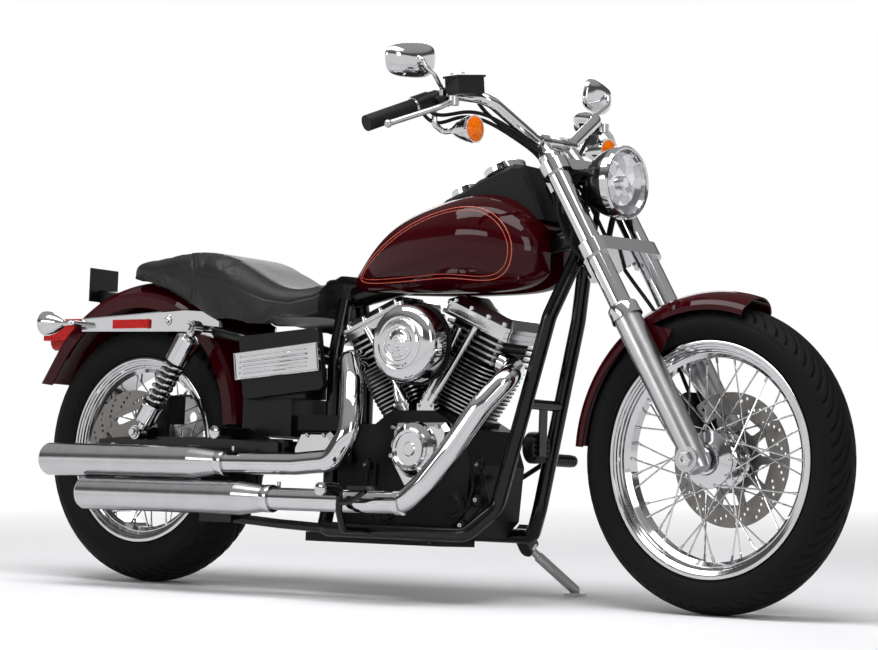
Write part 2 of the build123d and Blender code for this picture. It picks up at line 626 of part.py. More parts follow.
def frame_tubes():
    neck = rod(steering_point(LOWER_CLAMP[1] + NECK_GAP), steering_point(UPPER_CLAMP[0] - NECK_GAP),
               NECK_RADIUS)
    bore = rod(steering_point(LOWER_CLAMP[0]), steering_point(UPPER_CLAMP[1]),
               STEM_RADIUS + BEARING_CLEARANCE)
    frame = neck + rod(*BACKBONE, BACKBONE_RADIUS)
    head_x = BACKBONE[0][0]
    seat_rail = SHOCK_TOP[0] + 24 - UPRIGHT_X
    for side in SIDES:
        spread = RAIL_HALF_SPREAD
        foot_x, foot_z = DOWNTUBE_FOOT
        frame += pipe([(head_x + 22, side * 14, 790),
                       (DOWNTUBE_HEAD_X, side * (DOWNTUBE_HALF_SPREAD - 12), DOWNTUBE_HEAD_Z),
                       (foot_x, side * (DOWNTUBE_HALF_SPREAD + 14), foot_z),
                       (foot_x - 50, side * spread, RAIL_Z),
                       (UPRIGHT_X + 42, side * spread, RAIL_Z), (UPRIGHT_X, side * UPRIGHT_HALF, 212),
                       (UPRIGHT_X, side * UPRIGHT_HALF, 560), (UPRIGHT_X, side * 30, 690)],
                      FRAME_TUBE, [60, 60, 30, 30, 40, 60])
        frame += pipe([(UPRIGHT_X, side * UPRIGHT_HALF, 545), (UPRIGHT_X + 0.26 * seat_rail, side * 112, 560),
                       (UPRIGHT_X + 0.74 * seat_rail, side * 122, 598),
                       (UPRIGHT_X + seat_rail, side * 122, 614)],
                      SEAT_RAIL_RADIUS, [60, 60])
        frame += box((PIVOT[0] + 23.7, UPRIGHT_X), (side * UPRIGHT_HALF - 8, side * UPRIGHT_HALF + 8),
                     (PIVOT[2] - 22, PIVOT[2] + 22))
    frame += rod((CROSS_BAR_X, -DOWNTUBE_HALF_SPREAD, CROSS_BAR_Z),
                 (CROSS_BAR_X, DOWNTUBE_HALF_SPREAD, CROSS_BAR_Z), 12)
    frame += box((HORN_X + HORN_DEPTH + 0.3, HORN_X + HORN_DEPTH + 5), (-14, 14), (330, CROSS_BAR_Z))
    frame += muffler_hanger() + stand_bracket()
    frame += rod((UPRIGHT_X, -UPRIGHT_HALF, 262), (UPRIGHT_X, UPRIGHT_HALF, 262), 14)
    return frame - bore


def swing_arm():
    arm = rod((PIVOT[0], -SWING_ARM_HALF, PIVOT[2]), (PIVOT[0], SWING_ARM_HALF, PIVOT[2]), 23.4)
    half = SWING_ARM_WIDTH / 2
    for side in SIDES:
        y = side * SWING_ARM_HALF
        arm += side_plate([(PIVOT[0] + 24, PIVOT[2] - 26), (REAR_AXLE.X - 62, REAR_AXLE.Z - 24),
                           (REAR_AXLE.X - 62, REAR_AXLE.Z + 22), (REAR_AXLE.X + 60, REAR_AXLE.Z + 30),
                           (PIVOT[0] + 24, PIVOT[2] + 26)], y - half, y + half)
        arm += rod((SHOCK_BOTTOM[0], y, SHOCK_BOTTOM[1]),
                   (SHOCK_BOTTOM[0], side * (SHOCK_Y - 14.3), SHOCK_BOTTOM[1]), 9)
        arm += box((SHOCK_BOTTOM[0] - 16, SHOCK_BOTTOM[0] + 16), (y - 8, y + 8),
                   (REAR_AXLE.Z, SHOCK_BOTTOM[1] + 14))
    arm += box((PIVOT[0] - 130, PIVOT[0] - 90), (-SWING_ARM_HALF, SWING_ARM_HALF),
               (PIVOT[2] - 18, PIVOT[2] + 18))
    eye = rod(REAR_AXLE - Vector(0, 200, 0), REAR_AXLE + Vector(0, 200, 0), AXLE_RADIUS + 0.2)
    return arm - eye


def drive_belt():
    """A fixed loop round both pulleys, a hair's breadth clear of them."""
    gap = 0.6
    front = CLUTCH
    rear = (REAR_AXLE.X, REAR_AXLE.Z)
    loops = []
    for extra in (gap + BELT_THICKNESS, gap):
        ends = [Pos(*front) * Circle(DRIVE_PULLEY_RADIUS + extra), Pos(*rear) * Circle(PULLEY_RADIUS + extra)]
        loops.append(make_hull([edge for end in ends for edge in end.edges()]))
    plane = Plane(origin=(0, BELT_Y + BELT_WIDTH / 2, 0), x_dir=(1, 0, 0), z_dir=(0, -1, 0))
    belt = extrude(plane * (loops[0] - loops[1]), amount=BELT_WIDTH)
    return belt


def drive_pulley():
    disc = Pos(0, 0, -BELT_WIDTH / 2) * extrude(Circle(DRIVE_PULLEY_RADIUS), amount=BELT_WIDTH)
    shaft = Pos(0, 0, -BELT_WIDTH / 2 - 8.7) * extrude(Circle(16), amount=BELT_WIDTH + 8.7)
    return on_axle(disc + shaft, (CLUTCH[0], BELT_Y, CLUTCH[1]))


def rear_caliper():
    inner, outer = REAR_DISC_Y + 22, REAR_DISC_Y - 38
    body = box((REAR_AXLE.X + 70, REAR_AXLE.X + 150), (outer, inner), (REAR_AXLE.Z + 62, REAR_AXLE.Z + 132))
    slot = on_axle(Pos(0, 0, -DISC_THICKNESS / 2 - 5) * extrude(Circle(DISC_RADIUS + 5),
                   amount=DISC_THICKNESS + 10), REAR_AXLE + Vector(0, REAR_DISC_Y, 0))
    bracket = box((REAR_AXLE.X + 115, REAR_AXLE.X + 145), (outer, outer + 12),
                  (REAR_AXLE.Z + 30.3, REAR_AXLE.Z + 64))
    return body - slot + bracket


def shock(side):
    """Top and bottom covers and the damper's rod, between two eyes."""
    y = side * SHOCK_Y
    top = Vector(SHOCK_TOP[0], y, SHOCK_TOP[1])
    bottom = Vector(SHOCK_BOTTOM[0], y, SHOCK_BOTTOM[1])
    along = (top - bottom).normalized()
    length = (top - bottom).length
    radius = SHOCK_BODY_RADIUS
    outline = [(0, 8), (12, 8), (12, 26), (22, 30), (radius, 36), (radius, 84), (14, 84), (14, length - 96),
               (radius + 3, length - 96), (radius + 3, length - 30), (20, length - 24), (12, length - 20),
               (12, length - 8), (0, length - 8)]
    body = facing(turned(outline), bottom, along)
    for centre in (top, bottom):
        body += rod(centre - Vector(0, 14, 0), centre + Vector(0, 14, 0), 17)
    return body


def shock_spring(side):
    """The coils about the damper, as a sleeve of rings."""
    y = side * SHOCK_Y
    top = Vector(SHOCK_TOP[0], y, SHOCK_TOP[1])
    bottom = Vector(SHOCK_BOTTOM[0], y, SHOCK_BOTTOM[1])
    along = (top - bottom).normalized()
    length = (top - bottom).length
    low, high = 84.3, length - 96.3
    pitch = (high - low) / SPRING_TURNS
    outer = []
    for turn in range(SPRING_TURNS):
        start = low + turn * pitch
        outer += [(SPRING_RADIUS - 6, start), (SPRING_RADIUS, start + pitch * 0.3),
                  (SPRING_RADIUS, start + pitch * 0.7)]
    outer.append((SPRING_RADIUS - 6, high))
    sleeve = turned([(14.3, low)] + outer + [(14.3, high)])
    return facing(sleeve, bottom, along)


def tail_plane():
    """Across the rear fender where its arc ends: x away from its centre, z down its straight tail."""
    turn = math.radians(REAR_FENDER_TAIL)
    return Plane(origin=(REAR_FENDER_CENTRE[0], 0, REAR_FENDER_CENTRE[1]),
                 x_dir=(math.cos(turn), 0, math.sin(turn)),
                 z_dir=(-math.sin(turn), 0, math.cos(turn)))


def rear_fender():
    """An arch over the tyre that runs out straight into its tail, with a notch for the belt."""
    section = arch_section(REAR_FENDER_RADIUS, REAR_FENDER_HALF, 34, 300)
    fender = arch(section, (REAR_FENDER_CENTRE[0], 0, REAR_FENDER_CENTRE[1]), (2, REAR_FENDER_TAIL))
    fender += extrude(tail_plane() * section, amount=REAR_FENDER_TAIL_LENGTH)
    tip = tail_plane() * Pos(REAR_FENDER_RADIUS, 0, REAR_FENDER_TAIL_LENGTH)
    tip = tip.position
    fender -= side_plate([(tip.X - 50, tip.Z + 6), (tip.X + 160, tip.Z - 18), (tip.X + 160, tip.Z - 140),
                          (tip.X - 50, tip.Z - 140)], -REAR_FENDER_HALF - 2, REAR_FENDER_HALF + 2)
    belt_notch = box((REAR_AXLE.X + 195, REAR_AXLE.X + 415), (BELT_Y - BELT_WIDTH, 130), (300, 470))
    return fender - belt_notch


STRUT_OUTLINE = [(SHOCK_TOP[0] - 444, 655), (SHOCK_TOP[0] - 450, 640), (SHOCK_TOP[0] - 444, 622),
                 (SHOCK_TOP[0] - 68, 617), (SHOCK_TOP[0], 600), (SHOCK_TOP[0] + 26, 618),
                 (SHOCK_TOP[0] + 24, 642),
                 (SHOCK_TOP[0] - 29, 668), (SHOCK_TOP[0] - 92, 672)]


def fender_strut(side):
    """A flat chromed strut along the fender, with the stud that carries the shock's top eye."""
    y = side * (REAR_FENDER_HALF + 0.3)
    strut = side_plate(STRUT_OUTLINE, y, y + side * 10)
    strut = chamfer(strut.faces().sort_by(Axis.Y)[0 if side < 0 else -1].edges(), 3)
    stud = rod((SHOCK_TOP[0], y + side * 5, SHOCK_TOP[1]),
               (SHOCK_TOP[0], side * (SHOCK_Y - 14.3), SHOCK_TOP[1]), 9)
    return strut + stud


def reflector(side):
    y = side * (REAR_FENDER_HALF + 10.6)
    centre = SHOCK_TOP[0] - 268
    return box((centre - 60, centre + 60), (min(y, y + side * 7), max(y, y + side * 7)), (627, 649))


def fender_point(angle, out):
    """A point by its angle above the forward line through the rear fender's centre, and its height off it."""
    past_arc = max(angle - REAR_FENDER_TAIL, 0)
    radius = REAR_FENDER_RADIUS / math.cos(math.radians(past_arc)) + out
    return Vector(REAR_FENDER_CENTRE[0] + radius * math.cos(math.radians(angle)), 0,
                  REAR_FENDER_CENTRE[1] + radius * math.sin(math.radians(angle)))


def fender_space():
    """What the rear fender takes up, with a hair's breadth over it."""
    reach = REAR_FENDER_HALF + 2
    outside = REAR_FENDER_RADIUS + 0.4
    arc = on_axle(Pos(0, 0, -reach) * extrude(Circle(outside), amount=2 * reach),
                  (REAR_FENDER_CENTRE[0], 0, REAR_FENDER_CENTRE[1]))
    return arc + extrude(tail_plane() * Pos(outside / 2, 0) * Rectangle(outside, 2 * reach),
                         amount=REAR_FENDER_TAIL_LENGTH)


def tail_lamp():
    """A two-lobed lamp on the tail of the fender."""
    lobes = Pos(0, 16) * Circle(27) + Pos(0, -18) * Circle(22) + Rectangle(96, 34)
    face = Plane(origin=fender_point(147.7, 81), x_dir=(0, 1, 0), z_dir=(1, 0, 0))
    lamp = extrude(face * lobes, amount=130)
    return chamfer(lamp.faces().sort_by(Axis.X)[0].edges(), 5) - fender_space()


REAR_SIGNAL = (fender_point(134.2, 10).X, 150, 640)


PLATE_FACE = (fender_point(120.6, 59).X, fender_point(120.6, 59).Z)


def plate_bracket():
    """An upright plate carrier on a stalk from the fender."""
    plate = box((PLATE_FACE[0], PLATE_FACE[0] + 4), (-50, 50), (PLATE_FACE[1] - 46, PLATE_FACE[1] + 40))
    x, z = PLATE_FACE
    foot = fender_point(118, 0)
    stalk = side_plate([(x, z - 44), (x + 3, z - 14), (foot.X + 22, foot.Z + 4), (foot.X + 10, foot.Z - 30),
                        (foot.X - 26, foot.Z - 20)], -14, 14)
    base = rod(foot + Vector(-14, -22, 6), foot + Vector(-14, 22, 6), 20)
    return plate + stalk + base - fender_space()


# --- engine ---
def cylinder_plane(lean, height):
    """Square to a cylinder's axis, which leans ahead or back from the crank."""
    angle = math.radians(CYLINDER_ANGLE * lean)
    axis = Vector(math.sin(angle), 0, math.cos(angle))
    across = Vector(math.cos(angle), 0, -math.sin(angle))
    return Plane(origin=Vector(CRANK[0], 0, CRANK[1]) + axis * height, x_dir=across, z_dir=axis)


def crankcase():
    x, z = CRANK
    outline = [(x - 125, z - 90), (x - 90, z - 135), (x + 120, z - 135), (x + 158, z - 95), (x + 168, z + 30),
               (x + 138, z + 110), (x + 60, z + CASE_TOP), (x - 60, z + CASE_TOP), (x - 120, z + 110)]
    case = side_plate(outline, -CASE_HALF, CASE_HALF)
    for lean in SIDES:
        deck = cylinder_plane(lean, BARREL_BASE - 60) * Rectangle(120, 150)
        case += extrude(deck, amount=60)
        above = cylinder_plane(lean, BARREL_BASE)
        case -= extrude(above * Rectangle(300, 400), amount=200)
    filter_seat = rod((x + 150, -52, z - 30), (x + 172, -52, z - 30), 30)
    oil_filter = rod((x + 172, -52, z - 30), (x + 202, -52, z - 30), 38)
    nose = chamfer(oil_filter.faces().sort_by(Axis.X)[-1].edges(), 6)
    return case + filter_seat + nose


def finned_cylinder(lean):
    """Barrel and head: thin fins that widen upwards, then the head's block with a few deep ones."""
    barrel = extrude(cylinder_plane(lean, BARREL_BASE + 0.3) * Circle(BARREL_CORE_RADIUS),
                     amount=HEAD_BASE - BARREL_BASE)
    barrel += extrude(cylinder_plane(lean, HEAD_BASE) * RectangleRounded(150, 124, 20),
                      amount=BARREL_TOP - 0.3 - HEAD_BASE)
    pitch = (HEAD_BASE - BARREL_BASE - 8) / FIN_COUNT
    for index in range(FIN_COUNT):
        half = FIN_BASE_HALF + (FIN_TOP_HALF - FIN_BASE_HALF) * index / (FIN_COUNT - 1)
        fin = RectangleRounded(2 * half, 2 * min(half, FIN_SIDE_HALF), 30)
        barrel += extrude(cylinder_plane(lean, BARREL_BASE + 8 + index * pitch) * fin, amount=FIN_THICKNESS)
    pitch = (BARREL_TOP - HEAD_BASE - 8) / HEAD_FIN_COUNT
    for index in range(HEAD_FIN_COUNT):
        fin = RectangleRounded(2 * FIN_TOP_HALF, 2 * FIN_SIDE_HALF, 26)
        barrel += extrude(cylinder_plane(lean, HEAD_BASE + 6 + index * pitch) * fin,
                          amount=HEAD_FIN_THICKNESS)
    ports = cylinder_plane(lean, PORT_HEIGHT)
    inlet = rod(ports.origin, ports.origin - ports.x_dir * lean * FIN_TOP_HALF, MANIFOLD_RADIUS + 6)
    outlet = rod(ports.origin, ports.origin + ports.x_dir * lean * (FIN_TOP_HALF - 2), HEADER_RADIUS + 4)
    return barrel + inlet + outlet


def rocker_layer(lean, low, high, inset):
    """One casting of a rocker box's stack, between two heights above the head's deck."""
    outline = RectangleRounded(ROCKER_LENGTH - 2 * inset, 2 * (ROCKER_HALF - inset), ROCKER_CORNER)
    return extrude(cylinder_plane(lean, BARREL_TOP + low) * outline, amount=high - low)


def rocker_box(lean):
    """A flange, the housing with its waist, and a cover that slopes to a flat roof."""
    shelf = ROCKER_HEIGHT * 0.62
    stack = [rocker_layer(lean, 0, 7, 0), rocker_layer(lean, 7, 20, 5), rocker_layer(lean, 20, 22, 8),
             rocker_layer(lean, 22, shelf, 3)]
    roof = cylinder_plane(lean, BARREL_TOP + ROCKER_HEIGHT)
    cover = loft([cylinder_plane(lean, BARREL_TOP + shelf)
                  * RectangleRounded(ROCKER_LENGTH - 6, 2 * ROCKER_HALF - 6, ROCKER_CORNER),
                  roof * RectangleRounded(ROCKER_LENGTH - 44, 2 * ROCKER_HALF - 44, ROCKER_CORNER)])
    return stack[0] + stack[1:] + cover


def cut_by_rail(shape):
    """Clears the backbone from what stands below it."""
    return shape - rod(*BACKBONE, BACKBONE_RADIUS + 2)


def cam_cover():
    """A case that tapers downwards, with a stepped round cover on its dome."""
    x, z = CRANK
    outline = [(x - 34, z + 104), (x - 22, z + 120), (x + 112, z + 122), (x + 128, z + 104),
               (x + 122, z + 62),
               (x + 84, z + 4), (x + 42, z - 34), (x + 8, z - 34), (x - 28, z + 18)]
    face = CAM_COVER_Y + 16
    cover = side_plate(outline, -CASE_HALF - 0.2, face)
    cover = chamfer(cover.faces().sort_by(Axis.Y)[0].edges(), 9)
    dome = turned([(0, 0), (64, 0), (60, -9), (48, -15), (48, -21), (44, -24), (38, -22), (37, -19),
                   (17, -19),
                   (14, -22), (0, -22)])
    return cover + on_axle(dome, (x + 34, face, z + 60))


def pushrod_tubes(lean):
    """Two chromed tubes from a tappet block on the crankcase to the head above it."""
    x, z = CRANK[0] + lean * 36, CRANK[1] + CASE_TOP
    y = -CASE_HALF + 8
    block = box((x - 24, x + 24), (y - 9, y + 12), (z + 0.3, z + 16)) + box((x - 17, x + 17), (y - 7, y + 8),
                                                                          (z + 16, z + 24))
    for offset in SIDES:
        head = cylinder_plane(lean, BARREL_TOP - 2).origin + Vector(-lean * 6 + 22 * offset,
                                                                    -ROCKER_HALF - 8.6, 0)
        foot = Vector(x + lean * 9 * offset, y, z + 20)
        block += rod(foot, head, 8) + rod(foot, foot + (head - foot).normalized() * 22, 11)
    return block


def air_cleaner_cover():
    x, z = AIR_CLEANER_CENTRE
    radius, depth = AIR_CLEANER_RADIUS, AIR_CLEANER_DEPTH
    outline = Curve() + [
        Polyline((0, depth), (radius, depth), (radius, 26)),
        ThreePointArc((radius, 26), (radius - 9, 11), (radius - 29, 1)),
        Polyline((radius - 29, 1), (59, 5), (56, 5), (54, -1), (24, -3), (20, -8), (0, -8), (0, depth)),
    ]
    cover = revolve(Plane.XZ * make_face(outline), Axis.Z)
    return on_axle(cover, (x, AIR_CLEANER_FACE_Y, z))


def air_cleaner_back():
    x, z = AIR_CLEANER_CENTRE
    face = AIR_CLEANER_FACE_Y + AIR_CLEANER_DEPTH + 0.3
    plate = on_axle(turned([(0, 0), (AIR_CLEANER_RADIUS + 3, 0), (AIR_CLEANER_RADIUS + 3, 12), (0, 12)]),
                    (x, face, z))
    ports = cylinder_plane(1, PORT_HEIGHT)
    middle = ports.origin - ports.x_dir * (ports.origin.X - CRANK[0]) / ports.x_dir.X
    manifold = rod(middle - Vector(60, 0, 0), middle + Vector(60, 0, 0), MANIFOLD_RADIUS)
    for lean in SIDES:
        head = cylinder_plane(lean, BARREL_BASE) * Rectangle(2 * FIN_TOP_HALF + 0.6, 200)
        manifold -= extrude(head, amount=280)
    return plate + manifold + rod((x, face + 10, z), middle, MANIFOLD_RADIUS - 2)


def primary_cover():
    x, z = CRANK
    ends = [Pos(x, z) * Circle(94), Pos(*CLUTCH) * Circle(106)]
    plane = Plane(origin=(0, PRIMARY_Y[1], 0), x_dir=(1, 0, 0), z_dir=(0, -1, 0))
    shell = make_hull([edge for end in ends for edge in end.edges()])
    cover = extrude(plane * shell, amount=PRIMARY_Y[1] - PRIMARY_Y[0])
    cover = chamfer(cover.edges().group_by(Axis.Y)[-1], 14)
    derby = rod((CLUTCH[0], PRIMARY_Y[1] - 1, CLUTCH[1]), (CLUTCH[0], PRIMARY_Y[1] + 8, CLUTCH[1]), 72)
    alternator = rod((x, PRIMARY_Y[1] - 1, z), (x, PRIMARY_Y[1] + 5, z), 58)
    neck = rod((x, CASE_HALF + 0.3, z), (x, PRIMARY_Y[0] + 5, z), 76)
    return cover + derby + alternator + neck


def gearbox():
    """The case behind the crankcase, its sump, and the ledge above the side cover."""
    x, z = CRANK
    case = box((UPRIGHT_X + 30, x - 125.3), (-72, BELT_Y - BELT_WIDTH / 2 - 9), (z - 77, z + 120))
    sump = box((UPRIGHT_X - 62, x + 60), (-70, 70), (RAIL_Z - 30, z - 135.3))
    ledge = box((GEARBOX_COVER_X - 56, GEARBOX_COVER_X + 68), (-120, -82), (GEARBOX_COVER_TOP + 0.3, 414))
    arm = box((GEARBOX_COVER_X + 20, GEARBOX_COVER_X + 68), (-120, -60), (GEARBOX_COVER_TOP + 0.3, 397))
    return case + sump + ledge + arm + box((UPRIGHT_X + 34, x - 126), (-70, 70), (z - 137, z - 76))


def gearbox_cover():
    """A polished cover that tapers upwards, with bevelled edges."""
    x, top = GEARBOX_COVER_X, GEARBOX_COVER_TOP
    outline = [(x - 66, top - 78), (x - 66, top - 40), (x - 44, top), (x + 42, top), (x + 80, top - 48),
               (x + 80, top - 78)]
    cover = side_plate(outline, -82, -126)
    return chamfer(cover.faces().sort_by(Axis.Y)[0].edges(), 10)


# --- exhaust ---
FRONT_HEADER = [(275.6, -48, 538.3), (308, -48, 524.8), (352, -132, 500), (312, -176, 434), (248, -202, 330),
                (192, -216, 258), (143, MUFFLER_Y, 217), (40, MUFFLER_Y, 215)]
REAR_HEADER = [(-112, -76.6, 542), (-112, -118, 542), (-66, -160, 490), (-40, -192, 430), (-28, -214, 366),
               (-66, MUFFLER_Y, 306), (-170, MUFFLER_Y, 297)]


def header(points, muffler, bends):
    """From the head's port to the muffler's neck."""
    end = (muffler[1] + MUFFLER_CONE, MUFFLER_Y, muffler[2])
    return pipe(points + [end], HEADER_RADIUS, bends)


def muffler(place):
    """A straight drum with an open tip and a cone onto the header."""
    tail, shoulder, z = place
    length = shoulder - tail
    radius = MUFFLER_RADIUS
    outline = [(0, 60), (radius - 8, 60), (radius - 8, 0), (radius - 2, 0), (radius, 4), (radius, length),
               (HEADER_RADIUS + 4, length + MUFFLER_CONE - 14),
               (HEADER_RADIUS + 4, length + MUFFLER_CONE - 0.3),
               (0, length + MUFFLER_CONE - 0.3)]
    return facing(turned(outline), (tail, MUFFLER_Y, z), (1, 0, 0))


# --- bodywork ---
# Sections of the fuel tank: X, half width, bottom, top and corner radius.
TANK_SECTIONS = [(-168, 34, 716, 752, 16), (-90, 82, 706, 818, 50), (30, 122, 702, 884, 76),
                 (160, TANK_HALF - 2, 700, 918, 100), (270, TANK_HALF - 6, 702, 915, 98),
                 (346, 114, 714, 874, 74), (382, 78, 740, 838, 44)]
# Sections of the seat, in the same order.
SEAT_SECTIONS = [(-866, 60, 746, 780, 16), (-836, 92, 742, 794, 24), (-776, 110, 728, 802, 32),
                 (-690, 124, 704, 811, 38), (-600, 138, 664, 813, 44), (-510, 147, 628, 800, 46),
                 (-430, SEAT_HALF, 610, 766, 46), (-360, 148, 604, 732, 42), (-300, 136, 612, 716, 40),
                 (-240, 112, 632, 728, 38), (-188, 84, 668, 760, 34)]


def lofted_body(sections):
    faces = []
    for x, half, low, high, corner in sections:
        plane = Plane(origin=(x, 0, (low + high) / 2), x_dir=(0, 1, 0), z_dir=(1, 0, 0))
        faces.append(plane * RectangleRounded(2 * half, high - low, corner))
    return loft(faces)


def fuel_tank():
    """A teardrop over the backbone, with a tunnel for it."""
    body = lofted_body(TANK_SECTIONS)
    front, back = Vector(*BACKBONE[0]), Vector(*BACKBONE[1])
    beyond = (front - back).normalized() * 100
    half = BACKBONE_RADIUS + TANK_FIT
    tunnel = rod(front + beyond, back - beyond, half)
    front, back = front + beyond, back - beyond
    slot = side_plate([(front.X, 500), (front.X, front.Z), (back.X, back.Z), (back.X, 500)], -half, half)
    return body - tunnel - slot


def tank_console():
    outline = [(66, 892), (96, 916), (152, 937), (190, 958), (285, 990), (314, 986), (338, 938), (372, 860),
               (66, 860)]
    console = side_plate(outline, -52, 52)
    console = chamfer(console.edges().filter_by(lambda edge: edge.center().Z > 900
                                                and abs(edge.center().Y) > 51), 10)
    for centre, radius in (SPEEDOMETER, FUEL_CAP):
        console -= facing(Pos(0, 0, -10.3) * extrude(Circle(radius + 0.3), amount=60), centre, GAUGE_TILT)
    return console - lofted_body(TANK_SECTIONS)


GAUGE_TILT = (-0.36, 0, 0.93)
SPEEDOMETER = ((232, 0, 979), 50)
FUEL_CAP = ((128, 0, 934), 38)


def gauge(centre, radius):
    return facing(turned([(0, -10), (radius - 6, -10), (radius, -4), (radius, 10), (radius - 5, 13),
                          (radius - 8, 9),
                          (0, 9)]), centre, GAUGE_TILT)


def seat():
    body = lofted_body(SEAT_SECTIONS)
    pan = box((-560, -200), (-137, 137), (500, 641)) + box((-720, -500), (-113, 113), (500, 676))
    nose = box((-222, -150), (-112, 112), (500, 731))
    return body - fender_space() - pan - nose


BATTERY_OUTLINE = [(-424, 599), (-180, 617), (-156, 472), (-402, 447)]


def battery_box():
    """A cover with rounded corners over a tray, and the electrics' case beneath it."""
    y, depth = BATTERY_BOX_Y, BATTERY_COVER_DEPTH
    cover = side_plate(BATTERY_OUTLINE, y, y + depth)
    cover = fillet(cover.edges().filter_by(Axis.Y), 12)
    cover = fillet(cover.faces().sort_by(Axis.Y)[0].edges(), 4)
    tray = box((-410, UPRIGHT_X - 24), (y + depth - 1, -60), (452, 528))
    case = box((-424, GEARBOX_COVER_X - 70), (-128, BELT_Y - BELT_WIDTH / 2 - 8), (PIVOT[2] + 33, 454))
    return cover + tray + case + box((-300, -280), (-110, -98), (520, 541.9)) - fender_space()


def battery_band():
    """A ribbed strap across the cover, parallel to its edges."""
    y = BATTERY_BOX_Y
    band = side_plate([(-429, 557), (-172, 582), (-163, 515), (-420, 493)], y - 9, y - 0.3)
    for index in range(4):
        low = 507 + index * 13
        groove = side_plate([(-408, low), (-194, low + 21), (-194, low + 26), (-408, low + 5)], y - 10,
                            y - 6.5)
        band -= groove
    return fillet(band.edges().filter_by(Axis.Y).group_by(Axis.X)[0], 5)


def stand_axes():
    """The pivot, the foot's centre on the ground, the leg's direction, and the axis that folds it back."""
    lean = math.radians(LEAN)
    x, reach = STAND_FOOT
    pivot = Vector(*STAND_PIVOT)
    foot = Vector(x, reach * math.cos(lean), reach * math.sin(lean))
    down = (foot - pivot).normalized()
    return pivot, foot, down, down.cross(Vector(*STAND_FOLDED)).normalized()


def side_stand():
    pivot, foot, down, axis = stand_axes()
    up = Vector(0, -math.sin(math.radians(LEAN)), math.cos(math.radians(LEAN)))
    ring = rod(pivot - axis * STAND_RING_HALF, pivot + axis * STAND_RING_HALF, STAND_RING_RADIUS)
    neck = rod(pivot + down * 8, pivot + down * 44, STAND_RING_HALF - 0.5)
    leg = rod(pivot + down * 32, foot + up * 13, STAND_LEG_RADIUS)
    pad = rod(foot, foot + up * STAND_FOOT_THICKNESS, STAND_FOOT_RADIUS)
    heel = Location(tuple(foot + up * 13)) * Sphere(STAND_LEG_RADIUS)
    pin = rod(pivot - axis * 20, pivot + axis * 20, STAND_PIN_RADIUS + 0.3)
    return ring + neck + leg + pad + heel - pin


def stand_bracket():
    """A clevis hung from the left lower rail, with the stand's pin."""
    pivot, foot, down, axis = stand_axes()
    rail = Vector(pivot.X, RAIL_HALF_SPREAD, RAIL_Z)
    towards = rail - pivot
    towards = (towards - axis * towards.dot(axis)).normalized()
    half = STAND_RING_HALF + 8
    cheek = Plane(origin=pivot - axis * half, x_dir=towards, z_dir=axis)
    blank = extrude(cheek * (Circle(STAND_RING_RADIUS) + Pos(26, 0) * Rectangle(52, 2 * STAND_RING_RADIUS)),
                    amount=2 * half)
    slot = extrude(Plane(origin=pivot - axis * (STAND_RING_HALF + 0.4), x_dir=towards, z_dir=axis)
                   * (Circle(STAND_RING_RADIUS + 0.4) + Pos(-40, 0) * Rectangle(80, 90)),
                   amount=2 * STAND_RING_HALF + 0.8)
    rail_core = rod(rail - Vector(60, 0, 0), rail + Vector(60, 0, 0), FRAME_TUBE - 6)
    clevis = blank - slot - rail_core
    clevis = clevis.solids().sort_by(lambda solid: (solid.center() - pivot).length)[0]
    return clevis + rod(pivot - axis * half, pivot + axis * half, STAND_PIN_RADIUS)


def horn():
    """A round case behind the crossbar's tab, with slots across its face."""
    case = rod((HORN_X, 0, 350), (HORN_X + HORN_DEPTH, 0, 350), 36)
    for index in range(5):
        z = 350 + (index - 2) * 12
        case -= box((HORN_X + HORN_DEPTH - 6, HORN_X + HORN_DEPTH + 1), (-28, -16), (z - 2.5, z + 2.5))
        case -= box((HORN_X + HORN_DEPTH - 6, HORN_X + HORN_DEPTH + 1), (16, 28), (z - 2.5, z + 2.5))
    return case


def peg(root, side, length):
    """A ribbed foot peg that points outwards from its root, with a domed end cap."""
    outline = [(0, 0), (9, 0), (9, 12)]
    for index in range(int((length - 20) / 10)):
        low = 12 + index * 10
        outline += [(PEG_RADIUS, low), (PEG_RADIUS, low + 6), (PEG_RADIUS - 3, low + 6),
                    (PEG_RADIUS - 3, low + 10)]
    outline += [(PEG_RADIUS - 1, length - 8), (PEG_RADIUS - 1, length - 2), (PEG_RADIUS - 5, length),
                (0, length)]
    return facing(turned(outline), root, (0, side, 0))


